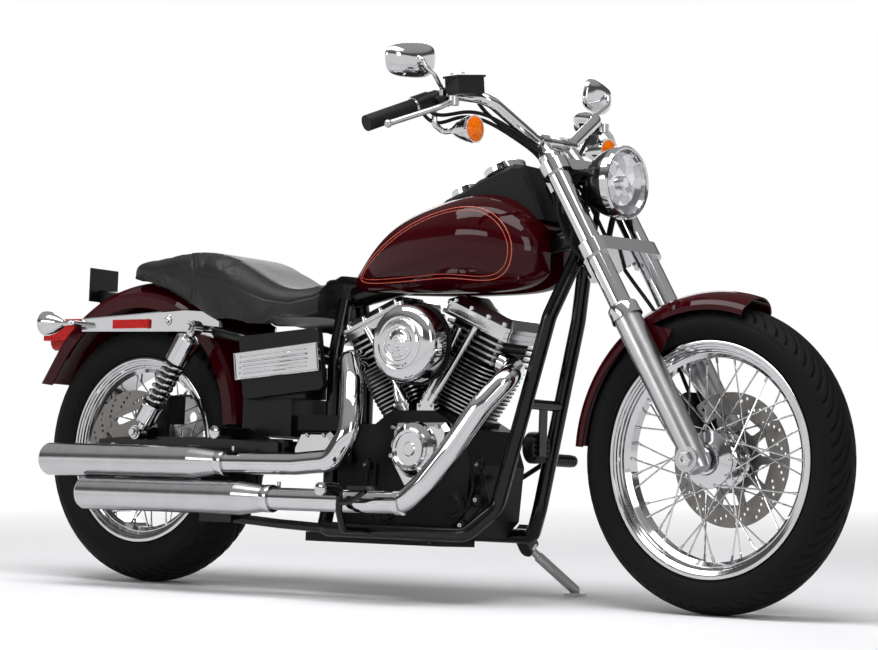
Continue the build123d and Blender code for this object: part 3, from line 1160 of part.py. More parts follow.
def foot_controls():
    """Rider's pegs on straps round the exhaust, the passenger's on plates at the swing arm's pivot,
    the brake pedal on the right and the shift lever on the left."""
    parts = []
    for side in SIDES:
        x, y, z = RIDER_PEG[0], side * RIDER_PEG[1], RIDER_PEG[2]
        rail = (x - 8, side * (RAIL_HALF_SPREAD + FRAME_TUBE + 0.8), RAIL_Z)
        strap = pipe([rail, (x - 4, y - side * 22, RAIL_Z), (x, y, z - 48), (x, y, z)], 8, [16, 20])
        parts.append(strap + peg((x, y, z), side, RIDER_PEG_LENGTH))
        plate_y = side * (SWING_ARM_HALF + SWING_ARM_WIDTH / 2 + 0.3)
        plate = side_plate([(PIVOT[0] + 14, PIVOT[2] - 16), (PIVOT[0] + 14, PIVOT[2] + 16),
                            (PASSENGER_PEG[0] + 6, PASSENGER_PEG[1] + 18),
                            (PASSENGER_PEG[0] - 14, PASSENGER_PEG[1] + 6),
                            (PASSENGER_PEG[0] - 10, PASSENGER_PEG[1] - 14)], plate_y, plate_y + side * 8)
        root = (PASSENGER_PEG[0], plate_y + side * 4, PASSENGER_PEG[1])
        parts.append(plate + peg(root, side, PASSENGER_PEG_LENGTH))
    x, y, z = RIDER_PEG[0], RIDER_PEG[1], RIDER_PEG[2]
    arm = pipe([(x + 2, -y - 2, z - 30), (x + 40, -y - 8, z - 26), (x + 84, -y - 14, z - 2)], 6, 20)
    parts[0] += arm + box((x + 62, x + 112), (-y - 52, -y - 6), (z, z + 9))
    lever = pipe([(x + 70, y - 50, z + 6), (x + 130, y - 40, z + 30), (SHIFT_PEG[0], y - 30, SHIFT_PEG[2])],
                 6, 30)
    boss = rod((x + 70, PRIMARY_Y[1] + 5.3, z + 6), (x + 70, y - 44, z + 6), 11)
    parts.append(lever + boss + peg((SHIFT_PEG[0], y - 34, SHIFT_PEG[2]), 1, SHIFT_PEG[1] - y + 34))
    return parts


def root_parts():
    axle_end = SWING_ARM_HALF + SWING_ARM_WIDTH / 2 + 14
    lens_side = {side: tuple(on_side(REAR_SIGNAL, side)) for side in SIDES}
    stem_x = SHOCK_TOP[0] - 436
    stems = {side: [Vector(stem_x, side * REAR_SIGNAL[1], REAR_SIGNAL[2]),
                    Vector(stem_x, side * (REAR_FENDER_HALF + 10.6), REAR_SIGNAL[2])] for side in SIDES}
    return {
        "frame_tubes": frame_tubes(),
        "swing_arm": swing_arm(),
        "rear_axle": rod(REAR_AXLE - Vector(0, axle_end, 0), REAR_AXLE + Vector(0, axle_end, 0), AXLE_RADIUS),
        "drive_belt": drive_belt(),
        "rear_caliper": rear_caliper(),
        "shocks": [shock(side) for side in SIDES],
        "shock_springs": [shock_spring(side) for side in SIDES],
        "rear_fender": rear_fender(),
        "fender_struts": [fender_strut(side) for side in SIDES],
        "red_lenses": [tail_lamp()] + [reflector(side) for side in SIDES],
        "rear_signals": [bullet_lamp(lens_side[side], -1, stems[side]) for side in SIDES],
        "rear_signal_lenses": [bullet_lens(lens_side[side], -1) for side in SIDES],
        "plate_bracket": plate_bracket(),
        "crankcase": crankcase(),
        "finned_cylinders": [finned_cylinder(lean) for lean in SIDES],
        "rocker_boxes": [cut_by_rail(rocker_box(lean)) for lean in SIDES],
        "cam_cover": cam_cover(),
        "pushrod_tubes": [pushrod_tubes(lean) for lean in SIDES],
        "air_cleaner_back": air_cleaner_back(),
        "air_cleaner_cover": air_cleaner_cover(),
        "primary_cover": primary_cover(),
        "gearbox": [gearbox(), drive_pulley()],
        "gearbox_cover": gearbox_cover(),
        "header_pipes": [header(FRONT_HEADER, LOWER_MUFFLER, [30, 40, 60, 90, 80, 60, 30]),
                         header(REAR_HEADER, UPPER_MUFFLER, [30, 30, 60, 60, 40, 60])],
        "mufflers": [muffler(place) for place in (UPPER_MUFFLER, LOWER_MUFFLER)],
        "fuel_tank": fuel_tank(),
        "tank_console": tank_console(),
        "tank_gauges": [gauge(*SPEEDOMETER), gauge(*FUEL_CAP)],
        "seat": seat(),
        "battery_box": battery_box(),
        "battery_band": battery_band(),
        "horn": horn(),
        "foot_controls": foot_controls(),
    }


def all_bodies():
    """Every node's solids by the body that carries it, upright and with the steering straight."""
    return {
        "frame": root_parts(),
        "fork": fork_parts(),
        "front_wheel": front_wheel_parts(),
        "rear_wheel": rear_wheel_parts(),
        "side_stand": {"side_stand": side_stand()},
    }


def placed(bodies):
    """Turns the steered pieces to their rest angle, leans the machine and stands it at the origin."""
    steering = Axis(steering_point(0), FORK_UP)
    nodes = {}
    for body, parts in bodies.items():
        for name, part in parts.items():
            solids = list(part) if isinstance(part, list) else [part]
            shape = Compound(children=solids)
            if body in ("fork", "front_wheel"):
                shape = shape.rotate(steering, -STEER_REST)
            nodes[name] = shape.rotate(Axis.X, -LEAN)
    boxes = [shape.bounding_box() for shape in nodes.values()]
    low = Vector(*[min(getattr(one.min, axis) for one in boxes) for axis in "XYZ"])
    high = Vector(*[max(getattr(one.max, axis) for one in boxes) for axis in "XYZ"])
    shift = Vector(-(low.X + high.X) / 2, -(low.Y + high.Y) / 2, -low.Z)
    return {name: shape.moved(Location(tuple(shift))) for name, shape in nodes.items()}, shift


if __name__ == "__main__":
    nodes, shift = placed(all_bodies())
    os.makedirs("parts", exist_ok=True)
    for name, shape in nodes.items():
        export_step(shape, "parts/" + name + ".step")
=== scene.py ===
import json
import math
import random
from functools import partialmethod

import bmesh
import bpy
from mathutils import Matrix, Vector
from mathutils.bvhtree import BVHTree


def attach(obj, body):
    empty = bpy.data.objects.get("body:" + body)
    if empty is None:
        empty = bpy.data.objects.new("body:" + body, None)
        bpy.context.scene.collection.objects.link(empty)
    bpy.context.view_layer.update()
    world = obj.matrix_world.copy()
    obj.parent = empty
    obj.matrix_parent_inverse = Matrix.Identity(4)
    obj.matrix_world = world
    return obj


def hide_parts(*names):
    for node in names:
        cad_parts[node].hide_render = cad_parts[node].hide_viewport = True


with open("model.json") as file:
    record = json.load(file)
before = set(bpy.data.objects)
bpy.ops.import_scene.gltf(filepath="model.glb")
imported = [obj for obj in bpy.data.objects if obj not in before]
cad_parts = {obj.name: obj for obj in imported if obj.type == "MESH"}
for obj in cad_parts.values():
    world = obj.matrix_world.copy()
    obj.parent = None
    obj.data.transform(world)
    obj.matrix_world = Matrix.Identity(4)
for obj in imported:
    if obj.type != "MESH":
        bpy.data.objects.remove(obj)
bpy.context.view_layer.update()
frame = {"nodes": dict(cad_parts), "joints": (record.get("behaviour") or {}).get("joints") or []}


# --- How the machine stands ---
# It was drawn upright in mm, with X = 0 midway between the axles and Z = 0 at the ground, then leaned
# onto its side stand with the bars turned a little. Two matrices carry a drawn point to its place:
# machine for what is fixed to the frame, and fork for what turns with the bars.
joints = {joint["name"]: joint for joint in frame["joints"]}
REAR_AXLE = Vector((-815, 0, 328))
FRONT_AXLE = Vector((815, 0, 331))
axle_line = Vector(joints["rear_wheel_spin"]["axis"])
wheel_line = Vector(joints["front_wheel_spin"]["axis"])
lean = Matrix.Rotation(-math.atan2(-axle_line.z, axle_line.y), 4, "X")
machine = (Matrix.Translation(joints["rear_wheel_spin"]["pos_m"]) @ lean @ Matrix.Scale(0.001, 4)
           @ Matrix.Translation(-REAR_AXLE))
steering_line = Vector(joints["steering"]["axis"])
steering_place = Matrix.Translation(joints["steering"]["pos_m"])
turned = math.copysign(axle_line.angle(wheel_line), axle_line.cross(wheel_line).dot(steering_line))
fork = steering_place @ Matrix.Rotation(turned, 4, steering_line) @ steering_place.inverted() @ machine


# --- Studio ---
# A plain pale floor that fades to white far from the machine, one softbox overhead and three round it,
# and a surround that is white near the horizon, dark above it and pale overhead, for the chrome to show.
class Value:
    """A shader socket that can be used in arithmetic."""

    def __init__(self, finish, socket):
        self.finish = finish
        self.socket = socket

    def maths(self, operation, *others):
        return self.finish.node("ShaderNodeMath", {"operation": operation}, self, *others)

    def __rsub__(self, other):
        return self.finish.node("ShaderNodeMath", {"operation": "SUBTRACT"}, other, self)

    __add__ = __radd__ = partialmethod(maths, "ADD")
    __mul__ = __rmul__ = partialmethod(maths, "MULTIPLY")
    __sub__ = partialmethod(maths, "SUBTRACT")
    __lt__ = partialmethod(maths, "LESS_THAN")
    __gt__ = partialmethod(maths, "GREATER_THAN")
    __abs__ = partialmethod(maths, "ABSOLUTE")


class Finish:
    """A node material: the shader's fixed numbers are set by name, and what varies is linked."""

    def __init__(self, name, tree=None, **fixed):
        self.material = None
        if tree is None:
            self.material = bpy.data.materials.new(name)
            self.material.use_nodes = True
            tree = self.material.node_tree
        self.tree = tree
        self.shader = tree.nodes.get("Principled BSDF")
        for socket, value in fixed.items():
            self.shader.inputs[socket.replace("_", " ")].default_value = value

    def node(self, kind, settings, *values, output=0, **named):
        """Adds a node: its settings first, then its inputs by order or by name."""
        made = self.tree.nodes.new(kind)
        stops = settings.pop("stops", None)
        for key, value in settings.items():
            setattr(made, key, value)
        if stops:
            ramp = made.color_ramp
            while len(ramp.elements) < len(stops):
                ramp.elements.new(0.5)
            for element, (position, colour) in zip(ramp.elements, stops):
                element.position = position
                element.color = colour
        sockets = [(made.inputs[index], value) for index, value in enumerate(values)]
        sockets += [(made.inputs[key.replace("_", " ")], value) for key, value in named.items()]
        for socket, value in sockets:
            if isinstance(value, Value):
                self.tree.links.new(value.socket, socket)
            elif value is not None:
                socket.default_value = value
        return Value(self, made.outputs[output])

    def link(self, **named):
        """Feeds the shader's varying inputs."""
        for key, value in named.items():
            self.tree.links.new(value.socket, self.shader.inputs[key.replace("_", " ")])
        return self

    def coordinates(self, output="Object"):
        return self.node("ShaderNodeTexCoord", {}, output=output)

    def noise(self, scale, detail=3, roughness=0.5, vector=None, output=0):
        return self.node("ShaderNodeTexNoise", {}, output=output, Vector=vector or self.coordinates(),
                         Scale=scale, Detail=detail, Roughness=roughness)

    def cells(self, scale, feature="F1", output=0):
        return self.node("ShaderNodeTexVoronoi", {"feature": feature}, output=output,
                         Vector=self.coordinates(), Scale=scale)

    def dot(self, vector, direction):
        """How far a vector goes along a direction."""
        return self.node("ShaderNodeVectorMath", {"operation": "DOT_PRODUCT"}, vector, direction, output=1)

    def ramp(self, factor, *stops):
        """Grey levels between two or more positions."""
        greys = [(position, (level, level, level, 1)) for position, level in stops]
        return self.node("ShaderNodeValToRGB", {"stops": greys}, factor)

    def blend(self, factor, first, second):
        """A mix of two colours, each four numbers or a socket."""
        mixed = self.node("ShaderNodeMix", {"data_type": "RGBA"}, output=2)
        for index, value in ((0, factor), (6, first), (7, second)):
            socket = mixed.socket.node.inputs[index]
            if isinstance(value, Value):
                self.tree.links.new(value.socket, socket)
            else:
                socket.default_value = value
        return mixed

    def greys(self, factor, first, second):
        """A mix of two nearly neutral greys."""
        return self.blend(factor, (first, first, first * 1.02, 1), (second, second, second * 1.02, 1))

    def bump(self, height, strength, distance):
        return self.node("ShaderNodeBump", {}, Strength=strength, Distance=distance, Height=height)

    def mottle(self, scale, detail, roughness, colours, pits=None):
        """One noise varies the roughness, given as its spread and its least, and the colour, and may pit
        the surface."""
        cloud = self.noise(scale, detail)
        spread, least = roughness
        mix = self.greys if isinstance(colours[0], float) else self.blend
        self.link(Roughness=cloud * spread + least, Base_Color=mix(cloud, *colours))
        if pits:
            self.link(Normal=self.bump(cloud, *pits))
        return self


def finished(name, mesh, finish, body, sharp=None):
    """An object of a mesh in its place, smooth but for its sharp edges, with its finish and its body."""
    mesh.shade_smooth()
    if sharp is not None:
        mesh.set_sharp_from_angle(angle=math.radians(sharp))
    mesh.materials.clear()
    mesh.materials.append(finish.material)
    piece = bpy.data.objects.new(name, mesh)
    bpy.context.scene.collection.objects.link(piece)
    if body is not None:
        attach(piece, body)
    return piece


def new_piece(name, shape, finish, body=None, place=None, sharp=35):
    """A piece whose bmesh a function fills, as it was drawn, before it is put in its place."""
    bm = bmesh.new()
    shape(bm)
    bmesh.ops.recalc_face_normals(bm, faces=bm.faces)
    if place is not None:
        bmesh.ops.transform(bm, matrix=place, verts=bm.verts)
    mesh = bpy.data.meshes.new(name)
    bm.to_mesh(mesh)
    bm.free()
    return finished(name, mesh, finish, body, sharp)


def coat(finish, *nodes):
    """Gives CAD nodes one material."""
    for name in nodes:
        mesh = frame["nodes"][name].data
        mesh.materials.clear()
        mesh.materials.append(finish.material)


FLOOR_SIZE = 40
FLOOR_FADE = (1.6, 4.5)
paving = Finish("studio_floor", Roughness=0.9, Specular_IOR_Level=0.0)
reach = paving.node("ShaderNodeVectorMath", {"operation": "LENGTH"}, paving.coordinates(), output=1)
fade = paving.node("ShaderNodeMapRange", {}, reach, *FLOOR_FADE, 0.0, 1.0)
paving.link(Base_Color=paving.greys(paving.noise(3), 0.86, 0.88))
glow = paving.node("ShaderNodeEmission", {}, (1, 1, 1, 1), 1.0)
lit = Value(paving, paving.shader.outputs[0])
shown = paving.node("ShaderNodeMixShader", {}, fade, lit, glow)
paving.tree.links.new(shown.socket, paving.tree.nodes["Material Output"].inputs["Surface"])


def floor_slab(bm):
    bmesh.ops.create_grid(bm, x_segments=1, y_segments=1, size=FLOOR_SIZE)


new_piece("studio_floor", floor_slab, paving)

world = bpy.data.worlds.new("studio")
world.use_nodes = True
bpy.context.scene.world = world
sky = Finish("studio", tree=world.node_tree)
height = sky.node("ShaderNodeSeparateXYZ", {}, sky.coordinates("Generated"), output="Z")
surround = sky.ramp(height, (0.0, 1.0), (0.15, 1.0), (0.21, 0.12), (0.4, 0.1), (0.56, 0.42), (1.0, 0.5))
rays = [sky.node("ShaderNodeLightPath", {}, output=f"Is {kind} Ray")
        for kind in ("Camera", "Glossy", "Transmission")]
seen = rays[0].maths("MAXIMUM", rays[1]).maths("MAXIMUM", rays[2])
background = sky.tree.nodes["Background"]
sky.tree.links.new(surround.socket, background.inputs["Color"])
sky.tree.links.new((seen * 0.45 + 0.55).socket, background.inputs["Strength"])

SOFTBOXES = [("overhead_softbox", (0.1, -0.9, 3.4), (4.2, 1.5), 120),
             ("front_softbox", (4.2, -2.6, 2.4), (1.2, 2.2), 45),
             ("side_softbox", (-1.6, -4.6, 2.2), (2.6, 0.9), 45),
             ("rear_softbox", (-2.6, 3.6, 2.6), (2.4, 1.2), 45)]
LIT_POINT = Vector((0, 0, 0.5))
for name, position, size, power in SOFTBOXES:
    lamp = bpy.data.lights.new(name, "AREA")
    lamp.shape, lamp.size, lamp.size_y, lamp.energy = "RECTANGLE", *size, power
    holder = bpy.data.objects.new(name, lamp)
    holder.location = position
    holder.rotation_euler = (LIT_POINT - Vector(position)).to_track_quat("-Z", "Y").to_euler()
    bpy.context.scene.collection.objects.link(holder)

bpy.context.scene.view_settings.view_transform = "Standard"


# --- Camera ---
# Low at the machine's front right, at about the height of its axles, and far enough off for little
# perspective.
CAMERA_PLACE = (3.60953, -4.69712, 0.47948)
CAMERA_TURN = (math.radians(91.456), 0, math.radians(36.881))
FOCAL_LENGTH = 104.61
camera = bpy.data.objects.new("camera", bpy.data.cameras.new("camera"))
camera.data.lens = FOCAL_LENGTH
camera.location = (machine @ Vector((0, 0, 0))) + Vector(CAMERA_PLACE)
camera.rotation_euler = CAMERA_TURN
bpy.context.scene.collection.objects.link(camera)
bpy.context.scene.camera = camera


# --- Frame and swing arm ---
# Welded steel tubes round the engine, with a box-section arm that carries the rear wheel. Both are under
# a hard black gloss enamel, as are the headlamp's bucket and the foot controls.
enamel = Finish("black_enamel", Specular_IOR_Level=0.3)
enamel.mottle(45, 3, (0.16, 0.1), (0.0015, 0.003), (0.1, 0.0004))
coat(enamel, "frame_tubes", "swing_arm", "headlamp_shell", "foot_controls")


# --- Engine cases ---
# The cast crankcase and the gearbox behind it, powder-coated in a fine black wrinkle. The horn, the
# brake calipers and the air cleaner's back plate have the same finish.
casting = Finish("engine_black", Specular_IOR_Level=0.16)
wrinkle = casting.noise(700, 2)
cloud = casting.noise(14, 3)
casting.link(Roughness=cloud * 0.2 + 0.32, Base_Color=casting.greys(cloud, 0.0015, 0.004),
             Normal=casting.bump(wrinkle, 0.35, 0.0003))
coat(casting, "crankcase", "gearbox", "air_cleaner_back", "horn", "front_caliper", "rear_caliper")


# --- Polished covers and chromed parts ---
# Steel and aluminium under bright chrome plate, which hazes a little here and there. The covers are held
# by socket screws, and so are the rocker boxes and the pushrods' tappet blocks.
chrome = Finish("chrome_plate", Metallic=1.0).mottle(11, 4, (0.07, 0.045), (0.5, 0.62))
coat(chrome, "fork_tubes", "triple_clamps", "handlebar", "front_signals", "headlamp_bezel", "shocks",
     "fender_struts", "rear_signals", "cam_cover", "pushrod_tubes", "primary_cover", "gearbox_cover",
     "header_pipes", "tank_gauges", "battery_band")

CRANK = Vector((70, 0, 277))
CYLINDER_LEAN = 22.5
BARREL_TOP = 370
ROCKER_HALF = 80
CAM_SCREWS = [(44, 387), (170, 389), (184, 352), (42, 322), (96, 250)]
GEARBOX_SCREWS = [(-248, 318), (-222, 366), (-172, 366), (-138, 320)]
ALTERNATOR = Vector((70, 172, 277))
CLUTCH = Vector((-165, 183, 297))


def along(origin, direction):
    """Turns Z along a direction and starts it at a point."""
    return Matrix.Translation(origin) @ Vector(direction).to_track_quat("Z", "Y").to_matrix().to_4x4()


def across(origin):
    """Turns Z across the machine, to its left."""
    return Matrix.Translation(origin) @ Matrix.Rotation(math.radians(-90), 4, "X")


def polar(radius, turn):
    """A point by its distance and its angle from the middle."""
    return radius * math.cos(turn), radius * math.sin(turn)


def lathe(bm, outline, place, steps=64, doublings=0):
    """Spins an outline of radius and height about Z, closes its poles, and puts it in place. A fine one
    is spun part of the way and doubled until the ring is full."""
    old = set(bm.verts)
    points = [bm.verts.new((radius, 0, height)) for radius, height in outline]
    lines = [bm.edges.new(pair) for pair in zip(points, points[1:])]
    angle = math.tau / 2 ** doublings
    bmesh.ops.spin(bm, geom=points + lines, axis=(0, 0, 1), cent=(0, 0, 0), angle=angle,
                   steps=steps // 2 ** doublings, use_merge=not doublings)
    for turn in range(doublings):
        copied = bmesh.ops.duplicate(bm, geom=[face for face in bm.faces if face.verts[0] not in old])["geom"]
        bmesh.ops.rotate(bm, matrix=Matrix.Rotation(angle * 2 ** turn, 3, "Z"),
                         verts=[part for part in copied if isinstance(part, bmesh.types.BMVert)])
    bmesh.ops.remove_doubles(bm, verts=[vert for vert in bm.verts if vert not in old], dist=1e-3)
    made = [vert for vert in bm.verts if vert not in old]
    bmesh.ops.transform(bm, matrix=place, verts=made)
    return made


def rod(bm, start, end, radius, end_radius=None, segments=12):
    """A round bar, or a taper, between two points."""
    start, end = Vector(start), Vector(end)
    made = bmesh.ops.create_cone(bm, cap_ends=True, segments=segments, radius1=radius,
                                 radius2=radius if end_radius is None else end_radius,
                                 depth=(end - start).length, matrix=along((start + end) / 2, end - start))
    return made["verts"]


def bolt(bm, point, direction, radius, height, sides=12):
    """A cap screw: a rounded head with a socket sunk in its top."""
    point, direction = Vector(point), Vector(direction).normalized()
    head = rod(bm, point, point + direction * height, radius, radius * 0.88, sides)
    faces = {face for vert in head for face in vert.link_faces}
    top = max(faces, key=lambda face: face.calc_center_median().dot(direction))
    bmesh.ops.inset_individual(bm, faces=[top], thickness=radius * 0.42, depth=0)
    bmesh.ops.inset_individual(bm, faces=[top], thickness=0.01, depth=-height * 0.7)


def cylinder_point(side, height, ahead=0, y=0):
    """A point by its height along a cylinder from the crank: side is -1 for the rear one, 1 for the front."""
    angle = math.radians(CYLINDER_LEAN * side)
    return (CRANK + Vector((math.sin(angle), 0, math.cos(angle))) * height
            + Vector((math.cos(angle), 0, -math.sin(angle))) * ahead + Vector((0, y, 0)))


def engine_bolts(bm):
    for side in (-1, 1):
        axis = cylinder_point(side, 1) - CRANK
        for ahead in (-74, -26, 26, 74):
            for y in (-1, 1):
                bolt(bm, cylinder_point(side, BARREL_TOP + 28, ahead, y * (ROCKER_HALF - 9)), axis, 6.5, 12)
        for ahead in (-28, 28):
            foot = CRANK + Vector((side * 36 + ahead * 0.6, -104, 160))
            bolt(bm, foot, (0, -1, 0.4), 3.6, 5, 6)
    for x, z in CAM_SCREWS:
        bolt(bm, (x, -140, z), (0, -1, 0), 5, 7)
    for x, z in GEARBOX_SCREWS:
        bolt(bm, (x, -124, z), (0, -1, 0), 5.5, 6)
    for turn in range(6):
        x, z = polar(1, math.radians(60 * turn + 20))
        out = Vector((x, 0, z))
        bolt(bm, ALTERNATOR + out * 84, (0, 1, 0), 5, 6)
        bolt(bm, CLUTCH + out * 62, (0, 1, 0), 4.5, 5)


new_piece("engine_bolts", engine_bolts, chrome, "frame", machine)


# --- Bosses and ribs of the case ---
# Cast with the crankcase: two raised ribs run round its right face, beside the bosses for the case's
# screws and two round covers.
CASE_RIB = [(-52, 318), (-58, 230), (-30, 168), (40, 138), (130, 132), (214, 152), (262, 206), (276, 262),
            (262, 326)]
CASE_MIDDLE = Vector((105, 235))
CASE_BOSSES = [(265, 228), (225, 170), (130, 140), (30, 146), (-50, 200), (-52, 300), (266, 306)]
CASE_COVERS = [(196, 214, 30), (10, 196, 20)]


def case_ribs(bm):
    for inset in (0, 26):
        points = []
        for corner in CASE_RIB:
            x, z = Vector(corner) + (CASE_MIDDLE - Vector(corner)).normalized() * inset
            points.append((x, -104 - inset * 0.12, z))
        for start, end in zip(points, points[1:]):
            rod(bm, start, end, 4.5, segments=8)
    for x, z in CASE_BOSSES:
        lathe(bm, [(0, 14), (9, 14), (12, 12), (13, 0), (0, 0)], along((x, -103, z), (0, -1, 0)), 20)
    for x, z, radius in CASE_COVERS:
        cover = [(0, 8), (radius - 12, 8), (radius - 9, 5), (radius - 3, 5), (radius, 3), (radius, 0), (0, 0)]
        lathe(bm, cover, along((x, -104.5, z), (0, -1, 0)), 40)


new_piece("case_ribs", case_ribs, casting, "frame", machine)


def case_screws(bm):
    for x, z in CASE_BOSSES:
        bolt(bm, (x, -116.5, z), (0, -1, 0), 5.5, 5)


new_piece("case_screws", case_screws, chrome, "frame", machine)


# --- Air cleaner ---
# A spun steel dome, chromed, held by one screw through a boss in its middle. A ringed plate with eight
# small studs is raised round the boss.
AIR_CLEANER = Vector((102, -208, 574))


def air_cleaner(bm):
    dome = [(0, 7), (4, 7), (4.5, 9), (11, 9), (13, 6.5), (17, 6.5), (19, 4), (23, 3.2), (26, 2),
            (34, 2.6), (36.5, 1), (40, 1), (42, 3), (50, 2.6), (52, 0), (55, -2.4), (57.5, -2.4), (60, -0.6),
            (70, -2.4), (78, -6.4), (84, -12), (88, -20), (89.6, -28), (89.8, -61), (0, -61)]
    lathe(bm, dome, along(AIR_CLEANER, (0, -1, 0)), 96)
    for turn in range(8):
        x, z = polar(30, math.radians(45 * turn + 10))
        stud = AIR_CLEANER + Vector((x, 0, z))
        rod(bm, stud - Vector((0, 2, 0)), stud - Vector((0, 4.4, 0)), 3.4, 2.6, 10)


cleaner = new_piece("air_cleaner_dome", air_cleaner, chrome, "frame", machine, 28)
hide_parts("air_cleaner_cover")


# --- Cylinders ---
# Cast iron barrels and aluminium heads in black, with the edges of the fins milled bright at the sides.
# Only what stands out from a cylinder's axis, and doesn't face along it, is a milled edge.
fins = Finish("finned_black", Specular_IOR_Level=0.2)
upright = machine.to_3x3().normalized()
sideways = upright @ Vector((0, 1, 0))
centre = machine @ CRANK
FIN_REACH = 0.0655
place, facing = fins.coordinates(), fins.coordinates("Normal")
off_side = abs(fins.dot(place, sideways) - centre.dot(sideways))
edges = []
for side in (1, -1):
    angle = math.radians(CYLINDER_LEAN * side)
    axis = upright @ Vector((math.sin(angle), 0, math.cos(angle)))
    beside = upright @ Vector((math.cos(angle), 0, -math.sin(angle)))
    off_axis = abs(fins.dot(place, beside) - centre.dot(beside)).maths("MAXIMUM", off_side)
    edges.append((abs(fins.dot(facing, axis)) < 0.4) * (off_axis > FIN_REACH))
forward = fins.dot(place, (1, 0, 0)) > centre.x
milled = (edges[0] * forward + edges[1] * (1 - forward)) * (abs(fins.dot(facing, sideways)) > 0.3)
soot = fins.noise(60, 3)
fins.link(Base_Color=fins.blend(milled, fins.greys(soot, 0.002, 0.005), fins.greys(soot, 0.34, 0.5)),
          Metallic=milled, Roughness=soot * 0.2 + 0.25)
coat(fins, "finned_cylinders")


# --- Exhaust ---
# Two chromed headers that run into straight satin drums, with a flat clamp and its screw round each
# joint, and a collar where the front header turns level. The rocker boxes share the satin finish.
satin = Finish("satin_chrome", Metallic=1.0).mottle(25, 4, (0.1, 0.13), (0.46, 0.58))
coat(satin, "mufflers", "rocker_boxes")
MUFFLER_Y = -222
MUFFLER_JOINTS = ((-390, 295.5), (-245, 215.2))
HEADER_BEND = Vector((143, MUFFLER_Y, 217))
HEADER_COLLAR = (29.5, 16)


def exhaust_clamps(bm):
    clamp = [(26.2, -13), (31.2, -13), (32.2, -11), (32.2, 7), (31.2, 9), (26.2, 9), (26.2, -13)]
    for x, z in MUFFLER_JOINTS:
        lathe(bm, clamp, along((x, MUFFLER_Y, z), (1, 0, 0)), 48)
        rod(bm, (x - 2, MUFFLER_Y + 30, z + 14), (x - 2, MUFFLER_Y + 30, z + 40), 4.5, segments=6)
    radius, length = HEADER_COLLAR
    onwards = (Vector((60, MUFFLER_Y, 215)) - HEADER_BEND).normalized()
    rod(bm, HEADER_BEND, HEADER_BEND + onwards * length, radius, segments=32)


new_piece("exhaust_clamps", exhaust_clamps, chrome, "frame", machine)


# --- Tyres ---
# Black rubber, moulded with ribs round the sidewall. Curved grooves sweep from near the middle of the
# tread out to each shoulder, with shorter ones between them, half a pitch apart on the two sides.
rubber = Finish("tyre_rubber", Specular_IOR_Level=0.1).mottle(70, 4, (0.2, 0.55), (0.003, 0.007))


def arc(first, middle, last, count):
    """Evenly spaced points along the circle through three points, both ends included."""
    (ax, ay), (bx, by), (cx, cy) = first, middle, last
    twice = 2 * (ax * (by - cy) + bx * (cy - ay) + cx * (ay - by))
    squares = [x * x + y * y for x, y in (first, middle, last)]
    x = (squares[0] * (by - cy) + squares[1] * (cy - ay) + squares[2] * (ay - by)) / twice
    y = (squares[0] * (cx - bx) + squares[1] * (ax - cx) + squares[2] * (bx - ax)) / twice
    radius = math.hypot(ax - x, ay - y)
    turns = [math.atan2(point[1] - y, point[0] - x) for point in (first, middle, last)]
    sweep = sum((after - before + math.pi) % math.tau - math.pi for before, after in zip(turns, turns[1:]))
    steps = (polar(radius, turns[0] + sweep * index / (count - 1)) for index in range(count))
    return [(x + right, y + up) for right, up in steps]


SIDEWALL_RIBS = ((1, 1.5), (2, 2.6), (3, 0.4), (5, 1.2), (16, -1.2), (17, -1.2))
GROOVE_DEPTH = 7.5
GROOVE_SWEEP = 1.5
LONG_AND_SHORT_GROOVES = ((0, 0.08, 1.02, 0.095), (0.5, 0.4, 1.02, 0.075))


def groove_depth(turn, outwards):
    """The depth at a place on the tread: turn in pitches, outwards 0 in the middle to 1 at the shoulder."""
    sweep = GROOVE_SWEEP * (1 - min(1, outwards)) ** 1.5
    depth = 0
    for shift, low, high, width in LONG_AND_SHORT_GROOVES:
        off = abs((turn + sweep + shift) % 1 - 0.5) / width
        ends = min(1, (outwards - low) * 14, (high - outwards) * 14)
        depth = max(depth, GROOVE_DEPTH * max(0, min(1, (1 - off) * 2.2)) * max(0, ends))
    return depth


def tyre(radius, half, shoulder_half, drop, flange, bead_half, tread_points, grooves, axle):
    def shape(bm):
        shoulder = radius - drop
        bead = flange - 9.6
        wall = bead + 0.5 * (shoulder - bead)
        side = arc((flange + 1, -bead_half), (wall, -half), (shoulder, -shoulder_half), 22)
        for index, rise in SIDEWALL_RIBS:
            side[index] = (side[index][0], side[index][1] - rise)
        crown = arc((shoulder, -shoulder_half), (radius, 0), (shoulder, shoulder_half), tread_points)
        outline = [(bead, -bead_half)] + side + crown[1:-1] + [(r, -y) for r, y in reversed(side)]
        outline += [(bead, bead_half), (bead, -bead_half)]
        for vert in lathe(bm, outline, Matrix.Identity(4), 896, 5):
            x, y, z = vert.co
            reach = math.hypot(x, y)
            if reach >= shoulder - 1 and abs(z) <= shoulder_half * 1.02:
                turn = math.atan2(y, x) * grooves / math.tau + (0.5 if z > 0 else 0)
                scale = 1 - groove_depth(turn, abs(z) / shoulder_half) / reach
                vert.co = (x * scale, y * scale, z)
        bmesh.ops.transform(bm, matrix=across(axle), verts=bm.verts)
    return shape


front_tread = tyre(331, 52, 44, 20, 255, 33.6, 52, 32, FRONT_AXLE)
front_tyre = new_piece("front_tyre_treaded", front_tread, rubber, "front_wheel", fork, 50)
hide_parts("front_tyre")
rear_tread = tyre(328, 80, 68, 27, 231, 56.6, 58, 30, REAR_AXLE)
rear_tyre = new_piece("rear_tyre_treaded", rear_tread, rubber, "rear_wheel", machine, 50)
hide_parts("rear_tyre")
coat(rubber, "drive_belt")


